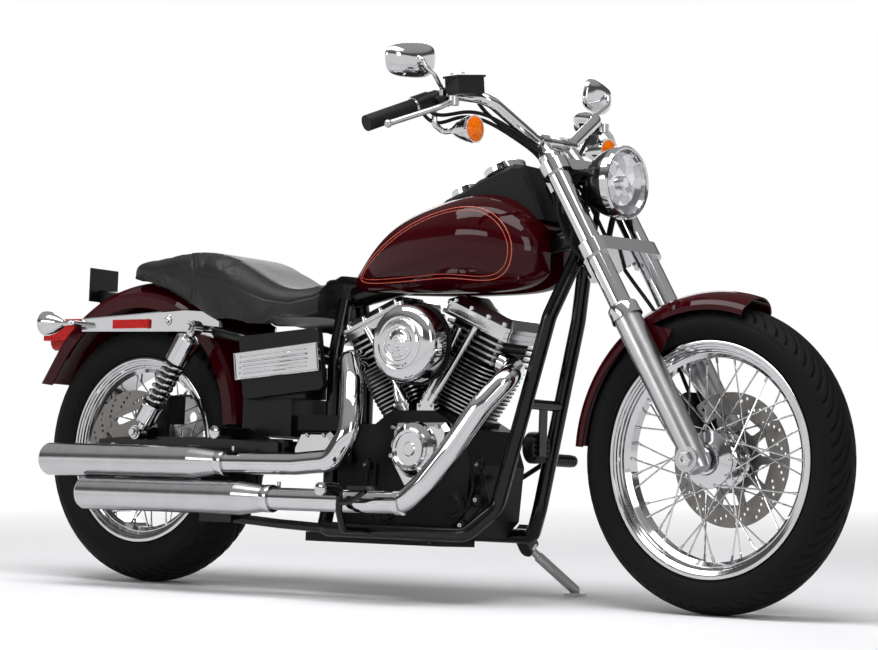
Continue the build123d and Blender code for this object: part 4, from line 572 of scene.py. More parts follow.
# --- Wire wheels ---
# Chromed steel rims with stepped walls, and a turned hub with a flange near each end. Forty spokes cross
# between them, each hooked through a flange and drawn tight by a nipple in the rim.
SPOKES = 40
LACING = 54
HUB_FLANGE = 61
SPOKE_RADIUS = 1.9
NIPPLE = (3.6, 2.6)
BORE = 13


def wire_wheel(flange, half, hub_half, barrel, cap, axle):
    def shape(bm):
        seat, well = flange - 10, flange - 32
        tyre_side = [(flange - 1, half), (flange, half - 2), (flange - 1, half - 5), (seat, half - 5),
                     (seat, half - 15), (well, half - 26)]
        spoke_side = [(well - 5, half - 26), (well + 4, half - 17), (well + 6, half - 17),
                      (well + 8, half - 13), (seat - 11, half - 12), (seat - 9, half - 8),
                      (seat - 5, half - 7), (seat - 4, half - 3.5), (seat, half - 2.5),
                      (seat + 1.5, half + 0.4), (seat + 5, half + 1), (flange - 1, half)]
        lathe(bm, tyre_side + [(r, -y) for r, y in reversed(tyre_side)]
              + [(r, -y) for r, y in reversed(spoke_side)] + spoke_side, across(axle), 160)
        side = [(BORE, hub_half), (cap - 12, hub_half), (cap - 11, hub_half - 2), (cap - 6, hub_half - 2),
                (cap - 5, hub_half - 0.5), (cap, hub_half - 1.5), (cap + 2, hub_half - 6), (cap + 2, 44),
                (cap + 9, 40), (HUB_FLANGE - 4, 37), (HUB_FLANGE, 35), (HUB_FLANGE, 31), (HUB_FLANGE - 4, 29),
                (barrel + 8, 25), (barrel, 17)]
        lathe(bm, side + [(r, -y) for r, y in reversed(side)] + side[:1], across(axle), 64)
        for index in range(SPOKES):
            flank = (-1, 1)[index % 2]
            lead = (-1, 1)[index // 2 % 2]
            at_rim = math.radians(360 / SPOKES * index)
            at_hub = at_rim + math.radians(lead * LACING)
            foot = Vector((*polar(HUB_FLANGE - 5, at_hub), flank * (33 + lead * 3)))
            tip = Vector((*polar(well - 3, at_rim), flank * (half - 26) * 0.6))
            foot, tip = (across(axle) @ point for point in (foot, tip))
            line = (foot - tip).normalized()
            rod(bm, foot, tip, SPOKE_RADIUS, segments=8)
            rod(bm, tip - line * 3, tip + line * 15, *NIPPLE, segments=6)
            bmesh.ops.create_icosphere(bm, subdivisions=1, radius=4, matrix=Matrix.Translation(foot))
    return shape


front_rim = new_piece("front_laced_wheel", wire_wheel(255, 39, 51.2, 26, 32, FRONT_AXLE), chrome,
                      "front_wheel", fork)
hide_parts("front_wire_wheel")
rear_rim = new_piece("rear_laced_wheel", wire_wheel(231, 62, 88, 30, 33, REAR_AXLE), chrome,
                     "rear_wheel", machine)
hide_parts("rear_wire_wheel")


# --- Brake discs ---
# A steel band, ground on both faces and drilled in slanted rows, riveted to a carrier. The carrier is a
# plate with windows between its arms, held on the hub.
ground = Finish("ground_steel", Metallic=0.9)
grain = ground.noise(160, 3, 0.6)
ground.link(Roughness=grain * 0.15 + 0.38,
            Base_Color=ground.blend(grain, (0.16, 0.15, 0.14, 1), (0.25, 0.24, 0.225, 1)))
DISC_RADIUS, DISC_BORE = 146, 104
HOLE_ROWS, HOLE_RADII = 16, (113, 121, 129, 137)
CARRIER_RADIUS, RIVET_RADIUS = 106, 101
WINDOW = ((72, -0.5), (78, -0.85), (96, -1), (99, -0.9), (99, 0.9), (96, 1), (78, 0.85), (72, 0.5))


def round_outline(radius, count, x=0.0, y=0.0):
    """Points round a circle, for a plate's edge or a hole in it."""
    ring = (polar(radius, math.tau * index / count) for index in range(count))
    return [(x + right, y + up) for right, up in ring]


def curve_mesh(name, lines, closed, **settings):
    """The mesh that a curve fills between its lines, or sweeps along them: a closed line runs straight
    from point to point, and an open one is smooth."""
    curve = bpy.data.curves.new(name, "CURVE")
    for key, value in settings.items():
        setattr(curve, key, value)
    for line in lines:
        spline = curve.splines.new("POLY" if closed else "NURBS")
        spline.points.add(len(line) - 1)
        for point, place in zip(spline.points, line):
            point.co = (*Vector(place).to_3d(), 1)
        spline.use_cyclic_u = closed
        spline.order_u, spline.use_endpoint_u = 4, True
    holder = bpy.data.objects.new(name, curve)
    mesh = bpy.data.meshes.new_from_object(holder)
    bpy.data.objects.remove(holder)
    bpy.data.curves.remove(curve)
    mesh.name = name
    return mesh


def flat_plate(bm, outlines, thickness):
    """A plate filled between outlines: each one inside another cuts a hole."""
    mesh = curve_mesh("plate", outlines, True, dimensions="2D", fill_mode="BOTH", extrude=thickness / 2)
    bm.from_mesh(mesh)
    bpy.data.meshes.remove(mesh)
    bmesh.ops.remove_doubles(bm, verts=bm.verts, dist=1e-3)


def brake_disc(windows, bore, centre):
    def shape(bm):
        holes = [round_outline(4, 10, *polar(radius, math.radians(row * 360 / HOLE_ROWS + step * 5.5)))
                 for row in range(HOLE_ROWS) for step, radius in enumerate(HOLE_RADII)]
        flat_plate(bm, [round_outline(DISC_RADIUS, 128), round_outline(DISC_BORE, 128)] + holes, 5)
        half_window = math.pi / windows * 0.72
        cut = [[polar(radius, math.tau * (index + 0.5) / windows + half_window * share)
                for radius, share in WINDOW] for index in range(windows)]
        flat_plate(bm, [round_outline(CARRIER_RADIUS, 96), round_outline(bore, 48)] + cut, 4)
        for index in range(windows):
            rivet = Vector((*polar(RIVET_RADIUS, math.tau * index / windows), 0))
            rod(bm, rivet - Vector((0, 0, 4)), rivet + Vector((0, 0, 4)), 7, 6, 12)
        bmesh.ops.transform(bm, matrix=across(centre), verts=bm.verts)
    return shape


front_disc = new_piece("front_drilled_disc", brake_disc(10, 26, FRONT_AXLE + Vector((0, 54, 0))), ground,
                       "front_wheel", fork)
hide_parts("front_brake_disc")
rear_disc = new_piece("rear_drilled_disc", brake_disc(5, 34, REAR_AXLE + Vector((0, -90, 0))), ground,
                      "rear_wheel", machine)
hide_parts("rear_brake_disc")


# --- Fork ---
# Chromed tubes in bead-blasted aluminium sliders, with a chromed cover at the top of each slider. The
# tubes are capped above the upper clamp, and the axle is held by its nut and by bolts in the sliders' feet.
RAKE = math.radians(31)
FORK_UP = Vector((-math.sin(RAKE), 0, math.cos(RAKE)))
FORK_AHEAD = Vector((math.cos(RAKE), 0, math.sin(RAKE)))
FORK_HALF = 94
TUBE_TOP = 772
LOWER_CLAMP = 522
AXLE_HALF = 118.6
alloy = Finish("satin_alloy", Metallic=1.0).mottle(35, 4, (0.1, 0.27), (0.42, 0.52))
coat(alloy, "fork_sliders", "hand_levers", "front_axle", "rear_axle", "side_stand")


def fork_point(up, ahead, y=0.0):
    """A point by its height along the fork tubes from the axle, and its distance ahead of them."""
    return FRONT_AXLE + FORK_UP * up + FORK_AHEAD * (7 + ahead) + Vector((0, y, 0))


def fork_trim(bm):
    cover = [(26, 378.4), (30.4, 378.4), (33, 376), (34.4, 373), (34.4, 352), (35.6, 351.5), (35.6, 346),
             (34.4, 345.5), (31, 345.5)]
    cap = [(0, 4), (15, 4), (24, 2.5), (25.5, 0), (25.5, -5), (24.2, -5)]
    axle_nut = [(0, 0), (17, 0), (17, 8), (14, 11), (7, 11), (6, 7), (0, 7)]
    for side in (-1, 1):
        y = side * FORK_HALF
        lathe(bm, cover, along(fork_point(0, 0, y), FORK_UP), 48)
        lathe(bm, cap, along(fork_point(TUBE_TOP, 0, y), FORK_UP), 40)
        bolt(bm, fork_point(LOWER_CLAMP, -34, y * 0.82), -FORK_AHEAD, 6, 8)
        for up in (-14, 14):
            bolt(bm, fork_point(up, -26, side * 106), -FORK_AHEAD, 5, 8)
        end = FRONT_AXLE + Vector((0, side * AXLE_HALF, 0))
        lathe(bm, axle_nut, along(end, (0, side, 0)), 6 if side < 0 else 32)


new_piece("fork_trim", fork_trim, chrome, "fork", fork)


# --- Belt pulley ---
# An aluminium wheel on the left of the rear hub: a toothed rim under the belt, a web with ten holes, and
# a boss that five bolts hold to the hub.
TEETH = 66
PULLEY_RADIUS = 139.5
TOOTH = ((0, 0), (0.45, 0), (0.55, 3), (0.9, 3))
PULLEY = REAR_AXLE + Vector((0, 96, 0))


def belt_pulley(bm):
    rim = [polar(PULLEY_RADIUS - depth, math.tau * (index + step) / TEETH)
           for index in range(TEETH) for step, depth in TOOTH]
    flat_plate(bm, [rim, round_outline(122, 96)], 23)
    holes = [round_outline(15, 20, *polar(92, math.radians(36 * index))) for index in range(10)]
    flat_plate(bm, [round_outline(124, 96), round_outline(36, 48)] + holes, 8)
    bmesh.ops.transform(bm, matrix=across(PULLEY), verts=bm.verts)
    boss = [(36, -9), (60, -9), (62, -7), (62, 7), (60, 9), (36, 9), (36, -9)]
    lathe(bm, boss, across(PULLEY), 64)
    for index in range(5):
        x, z = polar(49, math.radians(72 * index))
        bolt(bm, PULLEY + Vector((x, 9, z)), (0, 1, 0), 5.5, 4)


pulley = new_piece("toothed_pulley", belt_pulley, alloy, "rear_wheel", machine)
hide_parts("rear_belt_pulley")


# --- Bars, controls and mirrors ---
# A chromed bar clamped in two risers, with rubber grips, black switch housings and a brake reservoir.
# The mirrors are chromed shells on bent stems, screwed to the lever clamps, with glass towards the rider.
soft = Finish("black_rubber", Specular_IOR_Level=0.2)
soft.mottle(260, 2, (0.2, 0.5), (0.004, 0.009), (0.4, 0.0005))
plastic = Finish("black_plastic", Specular_IOR_Level=0.25)
plastic.mottle(500, 2, (0.15, 0.28), (0.002, 0.005), (0.2, 0.0003))
coat(soft, "handlebar_grips")
coat(plastic, "switch_housings")
mirror_silver = Finish("mirror_silver", Metallic=1.0).mottle(30, 3, (0.015, 0.004), (0.72, 0.8))

BAR_TIP = Vector((190, 434, 1050))
BAR_BEND = Vector((253, 233, 1132))
GRIP_LENGTH = 122
LEVER_CLAMP = 174
RESERVOIR = 203


def bar_point(side, from_end, ahead=0.0, above=0.0):
    """A point along the straight end of the bar, measured inwards from its tip."""
    turn = Vector((1, side, 1))
    return (BAR_TIP + (BAR_BEND - BAR_TIP).normalized() * from_end) * turn + Vector((ahead, 0, above))


def bar_trim(bm):
    for side in (-1, 1):
        outwards = (bar_point(side, 0) - bar_point(side, 10)).normalized()
        collar = [(18.2, -4), (20.4, -4), (20.4, 4), (18.2, 4)]
        lathe(bm, collar, along(bar_point(side, GRIP_LENGTH), outwards), 32)
        bolt(bm, bar_point(side, LEVER_CLAMP, 47, 4), (0, 0, 1), 6, 6)
        for ahead in (-26, 26):
            bolt(bm, Vector((355 + ahead * 0.35, side * 48 + ahead * 0.2, 1048)), (0.1, 0, 1), 4.5, 8)
    for x in (-16, 16):
        for y in (-26, 26):
            bolt(bm, bar_point(-1, RESERVOIR, 62 + x, 41.5) + Vector((0, y, 0)), (0, 0, 1), 3.2, 3)


new_piece("bar_trim", bar_trim, chrome, "fork", fork)
MIRROR_CENTRE = (231, 345, 1194)
MIRROR_HALVES = (67, 41)
SHELL = ((0.93, -7.4), (0.985, -7.9), (1, -6), (1, -3), (0.965, 2), (0.93, 4), (0.82, 11), (0.66, 17),
         (0.48, 21), (0.28, 23.4), (0.1, 24))
GLASS = ((0.92, -7.2), (0.92, -8.6), (0.9, -9))
STEM_RADIUS = 4.8


def mirror_outline(scale, height, count=48):
    """A rounded oblong that narrows at its inner lower corner."""
    half, rise = (size * scale for size in MIRROR_HALVES)
    ring = []
    for index in range(count):
        x, y = (math.copysign(abs(part) ** 0.62, part) for part in polar(1, math.tau * index / count))
        ring.append((half * x * (1 + 0.05 * y), rise * y * (0.93 + 0.07 * x), height))
    return ring


def loft(bm, rings):
    """Joins rings of points in order, and closes both ends."""
    loops = []
    for ring in rings:
        verts = [bm.verts.new(point) for point in ring]
        loops.append([bm.edges.new(pair) for pair in zip(verts, verts[1:] + verts[:1])])
    for first, second in zip(loops, loops[1:]):
        bmesh.ops.bridge_loops(bm, edges=first + second)
    for end in (0, -1):
        bmesh.ops.contextual_create(bm, geom=loops[end])
    return list(dict.fromkeys(vert for loop in loops for edge in loop for vert in edge.verts))


def mirror_place(side):
    """The mirror's own axes: X towards its inner end, Z out of its back."""
    origin = Vector(MIRROR_CENTRE) * Vector((1, side, 1))
    back = Vector((0.97, side * 0.2, -0.1)).normalized()
    inner = Vector((0.12, -side, 0.1))
    inner = (inner - back * inner.dot(back)).normalized()
    return Matrix.Translation(origin) @ Matrix((inner, back.cross(inner), back)).transposed().to_4x4()


def tube(bm, points, radius, sides=10, steps=6):
    """A round tube along a smooth curve through the middle of its points."""
    spine = []
    knots = [Vector(point) for point in points]
    knots = [knots[0] * 2 - knots[1]] + knots + [knots[-1] * 2 - knots[-2]]
    for a, b, c, d in zip(knots, knots[1:], knots[2:], knots[3:]):
        for step in range(steps):
            t = step / steps
            spine.append((b * 2 + (c - a) * t + (a * 2 - b * 5 + c * 4 - d) * t ** 2
                          + (b * 3 - a - c * 3 + d) * t ** 3) / 2)
    spine.append(knots[-2])
    rings = []
    for before, point, after in zip(spine[:1] + spine, spine, spine[1:] + spine[-1:]):
        run = (after - before).normalized()
        aside = run.cross(Vector((0.3, 1, 0.2))).normalized()
        other = run.cross(aside)
        rings.append([point + (aside * math.cos(turn) + other * math.sin(turn)) * radius
                      for turn in (math.tau * index / sides for index in range(sides))])
    return loft(bm, rings)


def mirror_loft(bm, side, profile):
    """Part of a mirror, lofted through its outline at the profile's scales and heights."""
    made = loft(bm, [mirror_outline(scale, height) for scale, height in profile])
    bmesh.ops.transform(bm, matrix=mirror_place(side), verts=made)


def mirrors(bm):
    for side in (-1, 1):
        mirror_loft(bm, side, SHELL)
        centre = Vector(MIRROR_CENTRE) * Vector((1, side, 1))
        foot = bar_point(side, LEVER_CLAMP, 26, 9.6)
        knee = centre + Vector((40, -side * 8, -14))
        tube(bm, [foot, foot + Vector((0, 0, 14)), foot.lerp(knee, 0.3) + Vector((4, 0, 6)),
                  foot.lerp(knee, 0.7) + Vector((6, 0, 0)), knee + Vector((-2, 0, -4)),
                  centre + Vector((30, 0, 0)), centre + Vector((18, 0, 0))], STEM_RADIUS)
        rod(bm, foot - Vector((0, 0, 2)), foot + Vector((0, 0, 10)), 8, segments=6)
        pivot = [(0, 7), (6, 6), (9, 1), (10, -4), (0, -4)]
        lathe(bm, pivot, along(centre + Vector((24, 0, 0)), (1, 0, 0)), 24)


shells = new_piece("mirror_shells", mirrors, chrome, "fork", fork, 50)
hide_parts("mirrors")


def mirror_glass(bm):
    for side in (-1, 1):
        mirror_loft(bm, side, GLASS)


glasses = new_piece("mirror_faces", mirror_glass, mirror_silver, "fork", fork)
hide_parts("mirror_glasses")


# --- Cables and hoses ---
# Black-sheathed throttle and clutch cables, and a rubber brake hose from the reservoir, looped under the
# bar and down inside the fork. Both ends of each are held, so none of them is a free cord.
def drawn_tubes(name, lines, radius, finish, body, closed=False):
    """One piece of round tubes drawn along lines of placed points."""
    mesh = curve_mesh(name, lines, closed, dimensions="3D", bevel_depth=radius * 0.001,
                      bevel_resolution=3, resolution_u=10, use_fill_caps=True)
    finished(name, mesh, finish, body)


def hose(name, radius, points):
    """A hose or a cable held on the fork."""
    drawn_tubes(name, [[fork @ Vector(point) for point in points]], radius, soft, "fork")


hose("throttle_cable", 4.2,
     [bar_point(-1, 150, -4, -20), bar_point(-1, 172, -6, -50), bar_point(-1, 205, 0, -62), (270, -226, 1082),
      (318, -196, 1078), (350, -100, 1030), (372, -50, 1000), (388, -30, 940), (396, -26, 860)])
hose("idle_cable", 4.2,
     [bar_point(-1, 156, 10, -20), bar_point(-1, 182, 10, -44), (282, -226, 1096), (330, -184, 1084),
      (362, -96, 1036), (384, -50, 1004), (400, -22, 940), (406, -18, 870)])
hose("clutch_cable", 4.5,
     [bar_point(1, 172, 50, -16), (292, 236, 1096), (330, 190, 1080), (364, 100, 1030), (390, 52, 990),
      (404, 34, 930), (408, 26, 870)])
hose("brake_hose", 4.5,
     [bar_point(-1, 228, 60, 8), bar_point(-1, 250, 40, -10), (312, -205, 1094), (352, -110, 1036),
      (400, -30, 985), (440, 10, 930), (470, 30, 860), (500, 52, 780), (560, 70, 700), (606, 84, 640),
      (640, 90, 560), (680, 90, 470), (728, 84, 400)])


# --- Wiring behind the headlamp ---
# Black-sheathed looms that drop from the headlamp bucket and the bars to the headstock. They are tied
# behind the clamps, so they ride with the fork.
def looms(bm):
    for y, ahead, radius in ((-62, 0, 6), (-44, 10, 8), (-22, -4, 7), (16, 6, 8), (40, -6, 6.5), (58, 8, 7)):
        tube(bm, [(492, y * 0.5, 958), (462 + ahead, y * 0.8, 962), (436 + ahead, y, 930),
                  (432 + ahead, y * 1.1, 880), (446 - ahead, y, 830), (462, y * 0.7, 800),
                  (478, y * 0.4, 778)], radius, 8, 4)
    for side in (-1, 1):
        tube(bm, [(500, side * 50, 880), (480, side * 64, 850), (470, side * 66, 800),
                  (492, side * 50, 770)], 7, 8, 4)


new_piece("wiring_looms", looms, soft, "fork", fork)


# --- Headlamp ---
# A chromed bezel holds a domed clear glass over a silvered reflector, pressed with many small facets.
# A capped bulb stands in the middle of the reflector.
LAMP = Vector((572, 0, 938))
LAMP_FRONT = along(LAMP, (1, 0, 0))
FACET_STEPS = 24
FACET_JITTER = 0.25


def facet_order(face):
    """Where a facet lies: its step round the lamp, then how near it is to the rim."""
    middle = LAMP_FRONT.inverted() @ face.calc_center_median()
    return int(math.atan2(middle.y, middle.x) % math.tau / math.tau * FACET_STEPS), -middle.xy.length


def reflector(bm):
    lathe(bm, [(72.2, -5.6), (66, -13), (50, -18.5), (12, -19.6), (0, -19.6)], LAMP_FRONT, FACET_STEPS)
    chance = random.Random(4)
    for face in sorted(bm.faces, key=facet_order):
        for vert in face.verts:
            if 20 < (vert.co - LAMP).length < 70:
                vert.co.x += chance.uniform(-FACET_JITTER, FACET_JITTER)
    lathe(bm, [(15, -19), (15, -10), (11, -7), (0, -7)], LAMP_FRONT, 32)


# Each facet of the silvered reflector is painted darker or brighter at random: painted shade and painted
# highlights for the way the tilted facets catch the light.
silvered = Finish("reflector_silver", Metallic=1.0)
facets = silvered.cells(45.0, output=1)
facet_painted_light = silvered.dot(facets, (0, 1, 0))
silvered.link(Roughness=silvered.dot(facets, (1, 0, 0)) * 0.12 + 0.04,
              Base_Color=silvered.blend(facet_painted_light, (0.3, 0.31, 0.33, 1), (0.85, 0.85, 0.85, 1)))
new_piece("headlamp_reflector", reflector, silvered, "fork", fork, 10)
clear = Finish("lamp_glass", Transmission_Weight=1.0, IOR=1.3)
clear.mottle(40, 3, (0.02, 0.005), (0.96, 0.99))


def lamp_glass(bm):
    lathe(bm, [(72.4, -5), (70, -2), (60, 1.6), (40, 5), (20, 6.6), (0, 7),
               (0, 5), (20, 4.6), (40, 3), (60, -0.4), (69, -3.6), (72.4, -5)], LAMP_FRONT, 64)


glass = new_piece("headlamp_glass", lamp_glass, clear, "fork", fork)
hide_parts("headlamp_lens")


# --- Painted bodywork ---
# Steel tank and fenders, pressed and welded, in a very deep cherry red under clear lacquer. Two fine
# orange stripes are drawn by hand round each side of the tank.
cherry = Finish("cherry_paint", Coat_Weight=0.38, Coat_Roughness=0.02, Specular_IOR_Level=0.0)
cherry.mottle(900, 2, (0.1, 0.24), ((0.020, 0.0003, 0.0012, 1), (0.042, 0.0006, 0.0024, 1)))
coat(cherry, "fuel_tank", "front_fender", "rear_fender")
stripe = Finish("orange_stripe", Coat_Weight=1.0)
stripe.mottle(60, 3, (0.1, 0.3), ((0.44, 0.045, 0.010, 1), (0.56, 0.062, 0.014, 1)))
TEARDROP = [(-140, 738), (-110, 768), (-50, 805), (20, 840), (85, 865), (150, 882), (210, 888),
            (262, 882), (305, 858), (332, 825), (342, 790), (336, 755), (312, 730), (270, 718),
            (215, 723), (155, 729), (90, 725), (20, 724), (-60, 723), (-120, 727)]
STRIPE_POINTS = 260
STRIPE_GAP = 8


def cad_surface(name):
    """A CAD node's faces, to cast rays at."""
    bm = bmesh.new()
    bm.from_mesh(frame["nodes"][name].data)
    bm.transform(frame["nodes"][name].matrix_world)
    return BVHTree.FromBMesh(bm)


def smooth_loop(points, count):
    """Evenly read points along a closed B-spline."""
    result = []
    total = len(points)
    for index in range(count):
        spot = index / count * total
        whole, part = int(spot), spot % 1
        weights = ((1 - part) ** 3 / 6, (3 * part ** 3 - 6 * part ** 2 + 4) / 6,
                   (-3 * part ** 3 + 3 * part ** 2 + 3 * part + 1) / 6, part ** 3 / 6)
        result.append(sum((Vector(points[(whole + step - 1) % total]) * weight
                           for step, weight in enumerate(weights)), Vector((0, 0))))
    return result


def stripe_lines(inset):
    """A closed line on each side of the tank, set in from the teardrop."""
    surface = cad_surface("fuel_tank")
    loop = smooth_loop(TEARDROP, STRIPE_POINTS)
    lines = []
    for side in (-1, 1):
        inwards = machine.to_3x3().normalized() @ Vector((0, -side, 0))
        line = []
        for before, point, after in zip(loop[-1:] + loop, loop, loop[1:] + loop[:1]):
            run = (after - before).normalized()
            x, z = point - Vector((-run.y, run.x)) * inset
            line.append(surface.ray_cast(machine @ Vector((x, side * 260, z)), inwards)[0])
        lines.append(line)
    return lines


drawn_tubes("tank_outer_stripes", stripe_lines(0), 1.3, stripe, "frame", True)
drawn_tubes("tank_inner_stripes", stripe_lines(STRIPE_GAP), 0.9, stripe, "frame", True)


# --- Console and gauges ---
# A matt black console screwed down the middle of the tank, with a chromed gauge and filler cap set in
# it. The gauge has a black face with orange marks and a pointer under its rim.
matt = Finish("matt_black", Specular_IOR_Level=0.2)
matt.mottle(240, 3, (0.2, 0.5), (0.003, 0.006), (0.35, 0.0006))
coat(matt, "tank_console")
dial = Finish("dial_face", Coat_Weight=1.0).mottle(20, 2, (0.1, 0.4), (0.012, 0.02))
GAUGE_UP = Vector((-0.36, 0, 0.93)).normalized()
ABOVE_GAUGE = machine @ (Vector((232, 0, 979)) + GAUGE_UP * 100)
down = -(machine.to_3x3() @ GAUGE_UP).normalized()
gauge_top = machine.inverted() @ cad_surface("tank_gauges").ray_cast(ABOVE_GAUGE, down)[0]


def gauge_face(bm):
    lathe(bm, [(41, -0.6), (41, 0.6), (0, 0.9)], along(gauge_top, GAUGE_UP), 48)


new_piece("gauge_face", gauge_face, dial, "frame", machine)


def gauge_marks(bm):
    place = along(gauge_top + GAUGE_UP * 0.9, GAUGE_UP)
    for index in range(25):
        out = Vector((*polar(1, math.radians(-120 + index * 10)), 0))
        rod(bm, place @ (out * (29 if index % 3 else 26)), place @ (out * 36), 0.6, segments=4)
    pointer = Vector((*polar(1, math.radians(-120)), 0.12))
    rod(bm, place @ (pointer * -6), place @ (pointer * 30), 1.2, 0.5, 6)
    rod(bm, place @ Vector((0, 0, -1)), place @ Vector((0, 0, 2.5)), 4, segments=16)


new_piece("gauge_marks", gauge_marks, stripe, "frame", machine)


# --- Lamps and reflectors ---
# Amber lenses pressed into chromed bullets, and a ruby tail lamp and side reflectors. All are moulded
# in tinted plastic, with fine prisms on the inside that break up the light.
def prism_lens(name, low, high):
    """Tinted plastic, with the low colour at each prism's edge as painted shade and the high one in its
    middle as a painted highlight.
    """
    lens = Finish(name, Coat_Weight=0.2, Specular_IOR_Level=0.1)
    prisms = lens.cells(220.0)
    # The colour of each prism is a painted highlight in its middle and painted shade at its edge, for the
    # light that the prisms break up.
    lens.link(Roughness=prisms * 0.15 + 0.12, Base_Color=lens.blend(prisms, high, low),
              Normal=lens.bump(prisms, 0.4, 0.001))
    return lens


amber = prism_lens("amber_lens", (0.6, 0.085, 0.0, 1), (1.0, 0.22, 0.0, 1))
coat(amber, "front_signal_lenses", "rear_signal_lenses")
ruby = prism_lens("ruby_lens", (0.20, 0.002, 0.002, 1), (0.58, 0.008, 0.006, 1))
coat(ruby, "red_lenses")


# --- Shock springs ---
# Chromed steel wire, wound in seven turns over a black sleeve between the two eyes of each shock. A
# ring holds the spring at each end, and a chromed nut holds each eye.
SHOCK_EYES = ((-552, 620), (-720, 366))
SHOCK_HALF = 172
COIL_RADIUS, WIRE_RADIUS = 22.4, 4.2
COIL_TURNS, STEPS_A_TURN = 7, 24


def shock_frame(side):
    """The shock's own axes, with Z up it from its lower eye, and its length."""
    top, bottom = (Vector((x, side * SHOCK_HALF, z)) for x, z in SHOCK_EYES)
    return along(bottom, top - bottom), (top - bottom).length


def coils(bm):
    for side in (-1, 1):
        place, length = shock_frame(side)
        low, high = 89.5, length - 101.5
        ring = bmesh.ops.create_circle(bm, segments=8, radius=WIRE_RADIUS)["verts"]
        edges = list(dict.fromkeys(edge for vert in ring for edge in vert.link_edges))
        start = Matrix.Translation((COIL_RADIUS, 0, low)) @ Matrix.Rotation(math.radians(90), 4, "X")
        bmesh.ops.transform(bm, matrix=start, verts=ring)
        steps = COIL_TURNS * STEPS_A_TURN
        bmesh.ops.spin(bm, geom=ring + edges, cent=(0, 0, 0), axis=(0, 0, 1),
                       angle=math.tau * COIL_TURNS, dvec=(0, 0, (high - low) / steps), steps=steps)
        made = [vert for vert in bm.verts if not vert.tag]
        for vert in made:
            vert.tag = True
        bmesh.ops.transform(bm, matrix=place, verts=made)


springs = new_piece("wound_springs", coils, chrome, "frame", machine)
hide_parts("shock_springs")


def sleeves(bm):
    for side in (-1, 1):
        place, length = shock_frame(side)
        lathe(bm, [(0, 85), (17.4, 85), (17.4, length - 97), (0, length - 97)], place, 32)


new_piece("shock_sleeves", sleeves, enamel, "frame", machine)


def shock_trim(bm):
    nut = [(0, 27), (8, 27), (9, 25), (9, 20), (13, 20), (14, 18), (14, 14), (0, 14)]
    for side in (-1, 1):
        place, length = shock_frame(side)
        for low, high in ((72, 84), (length - 96, length - 86)):
            ring = [(14, low), (26.4, low), (27, low + 2), (27, high - 2), (26.4, high), (14, high)]
            lathe(bm, ring, place, 40)
        for x, z in SHOCK_EYES:
            lathe(bm, nut, along((x, side * SHOCK_HALF, z), (0, side, 0)), 32)


new_piece("shock_trim", shock_trim, chrome, "frame", machine)


# --- Reflectors and strut bolts ---
# Each ruby side reflector sits in a thin chromed frame on the fender's strut. A domed bolt ahead of it
# holds the strut to the frame.
def strut_trim(bm):
    corners = ((-1, -1), (1, -1), (1, 1), (-1, 1))
    edges = [[(x * half, z * rise) for x, z in corners] for half, rise in ((56, 13), (51.5, 9.4))]
    dome = [(0, 7), (5, 6.6), (8, 4), (9, 2), (13, 2), (14, 0), (0, 0)]
    for side in (-1, 1):
        old = set(bm.verts)
        flat_plate(bm, edges, 5)
        made = [vert for vert in bm.verts if vert not in old]
        bmesh.ops.transform(bm, matrix=along((-820, side * 111, 638), (0, side, 0)), verts=made)
        lathe(bm, dome, along((-699, side * 108.3, 646), (0, side, 0)), 32)


new_piece("strut_trim", strut_trim, chrome, "frame", machine)


# --- Battery box and its band ---
# A satin black pressed box under the seat, strapped down by a bright steel band. The band has a rolled
# edge all round and five ribs pressed along it.
box = Finish("satin_black", Specular_IOR_Level=0.22).mottle(30, 3, (0.12, 0.26), (0.002, 0.004))
coat(box, "battery_box", "plate_bracket")
BAND = [(-429, 557), (-172, 582), (-163, 515), (-420, 493)]
BAND_FACE = -164.6


def band_spot(onwards, up):
    """A point on the band: 0 to 1 from its rear end, and 0 to 1 from its lower edge."""
    rear_top, front_top, front_low, rear_low = (Vector(corner) for corner in BAND)
    x, z = rear_low.lerp(front_low, onwards).lerp(rear_top.lerp(front_top, onwards), up)
    return Vector((x, BAND_FACE, z))


def band_ribs(bm):
    for index in range(5):
        up = 0.2 + index * 0.15
        rod(bm, band_spot(0.1, up), band_spot(0.86, up), 2.0, segments=10)
    for up in (0.03, 0.97):
        rod(bm, band_spot(0.005, up), band_spot(0.995, up), 2.2, segments=10)
    for end in (0.012, 0.985):
        rod(bm, band_spot(end, 0.03), band_spot(end, 0.97), 2.2, segments=10)


new_piece("battery_band_ribs", band_ribs, chrome, "frame", machine)


# --- Seat ---
# Dark leather stretched over moulded foam on a steel pan. It is sewn with a double seam across between
# rider and passenger, and with a seam round the side of the rider's part.
leather = Finish("black_leather", Specular_IOR_Level=0.28)
creases = leather.cells(420.0, "DISTANCE_TO_EDGE")
leather.mottle(14, 4, (0.16, 0.4), (0.004, 0.009)).link(Normal=leather.bump(creases, 0.25, 0.0008))
SEAT_EDGE = [(-866, 746, 780), (-776, 728, 802), (-690, 704, 811), (-600, 664, 813), (-510, 628, 800),
             (-430, 610, 766), (-360, 604, 732), (-300, 612, 716), (-240, 632, 728), (-188, 668, 760)]
VOXEL = 0.006
SWELL = 0.005
STIFFNESS, PRESSURE, CLOTH_FRAMES = 15, 4, 20
SEAM, SEAM_GAP = -700, 13
SIDE_SEAM_SHARE, SIDE_SEAM_HALF = 0.66, 50


def apply_modifiers(piece):
    """Fixes what its modifiers make of a piece into its mesh."""
    bpy.context.view_layer.update()
    made = bpy.data.meshes.new_from_object(piece.evaluated_get(bpy.context.evaluated_depsgraph_get()))
    piece.modifiers.clear()
    piece.data = made


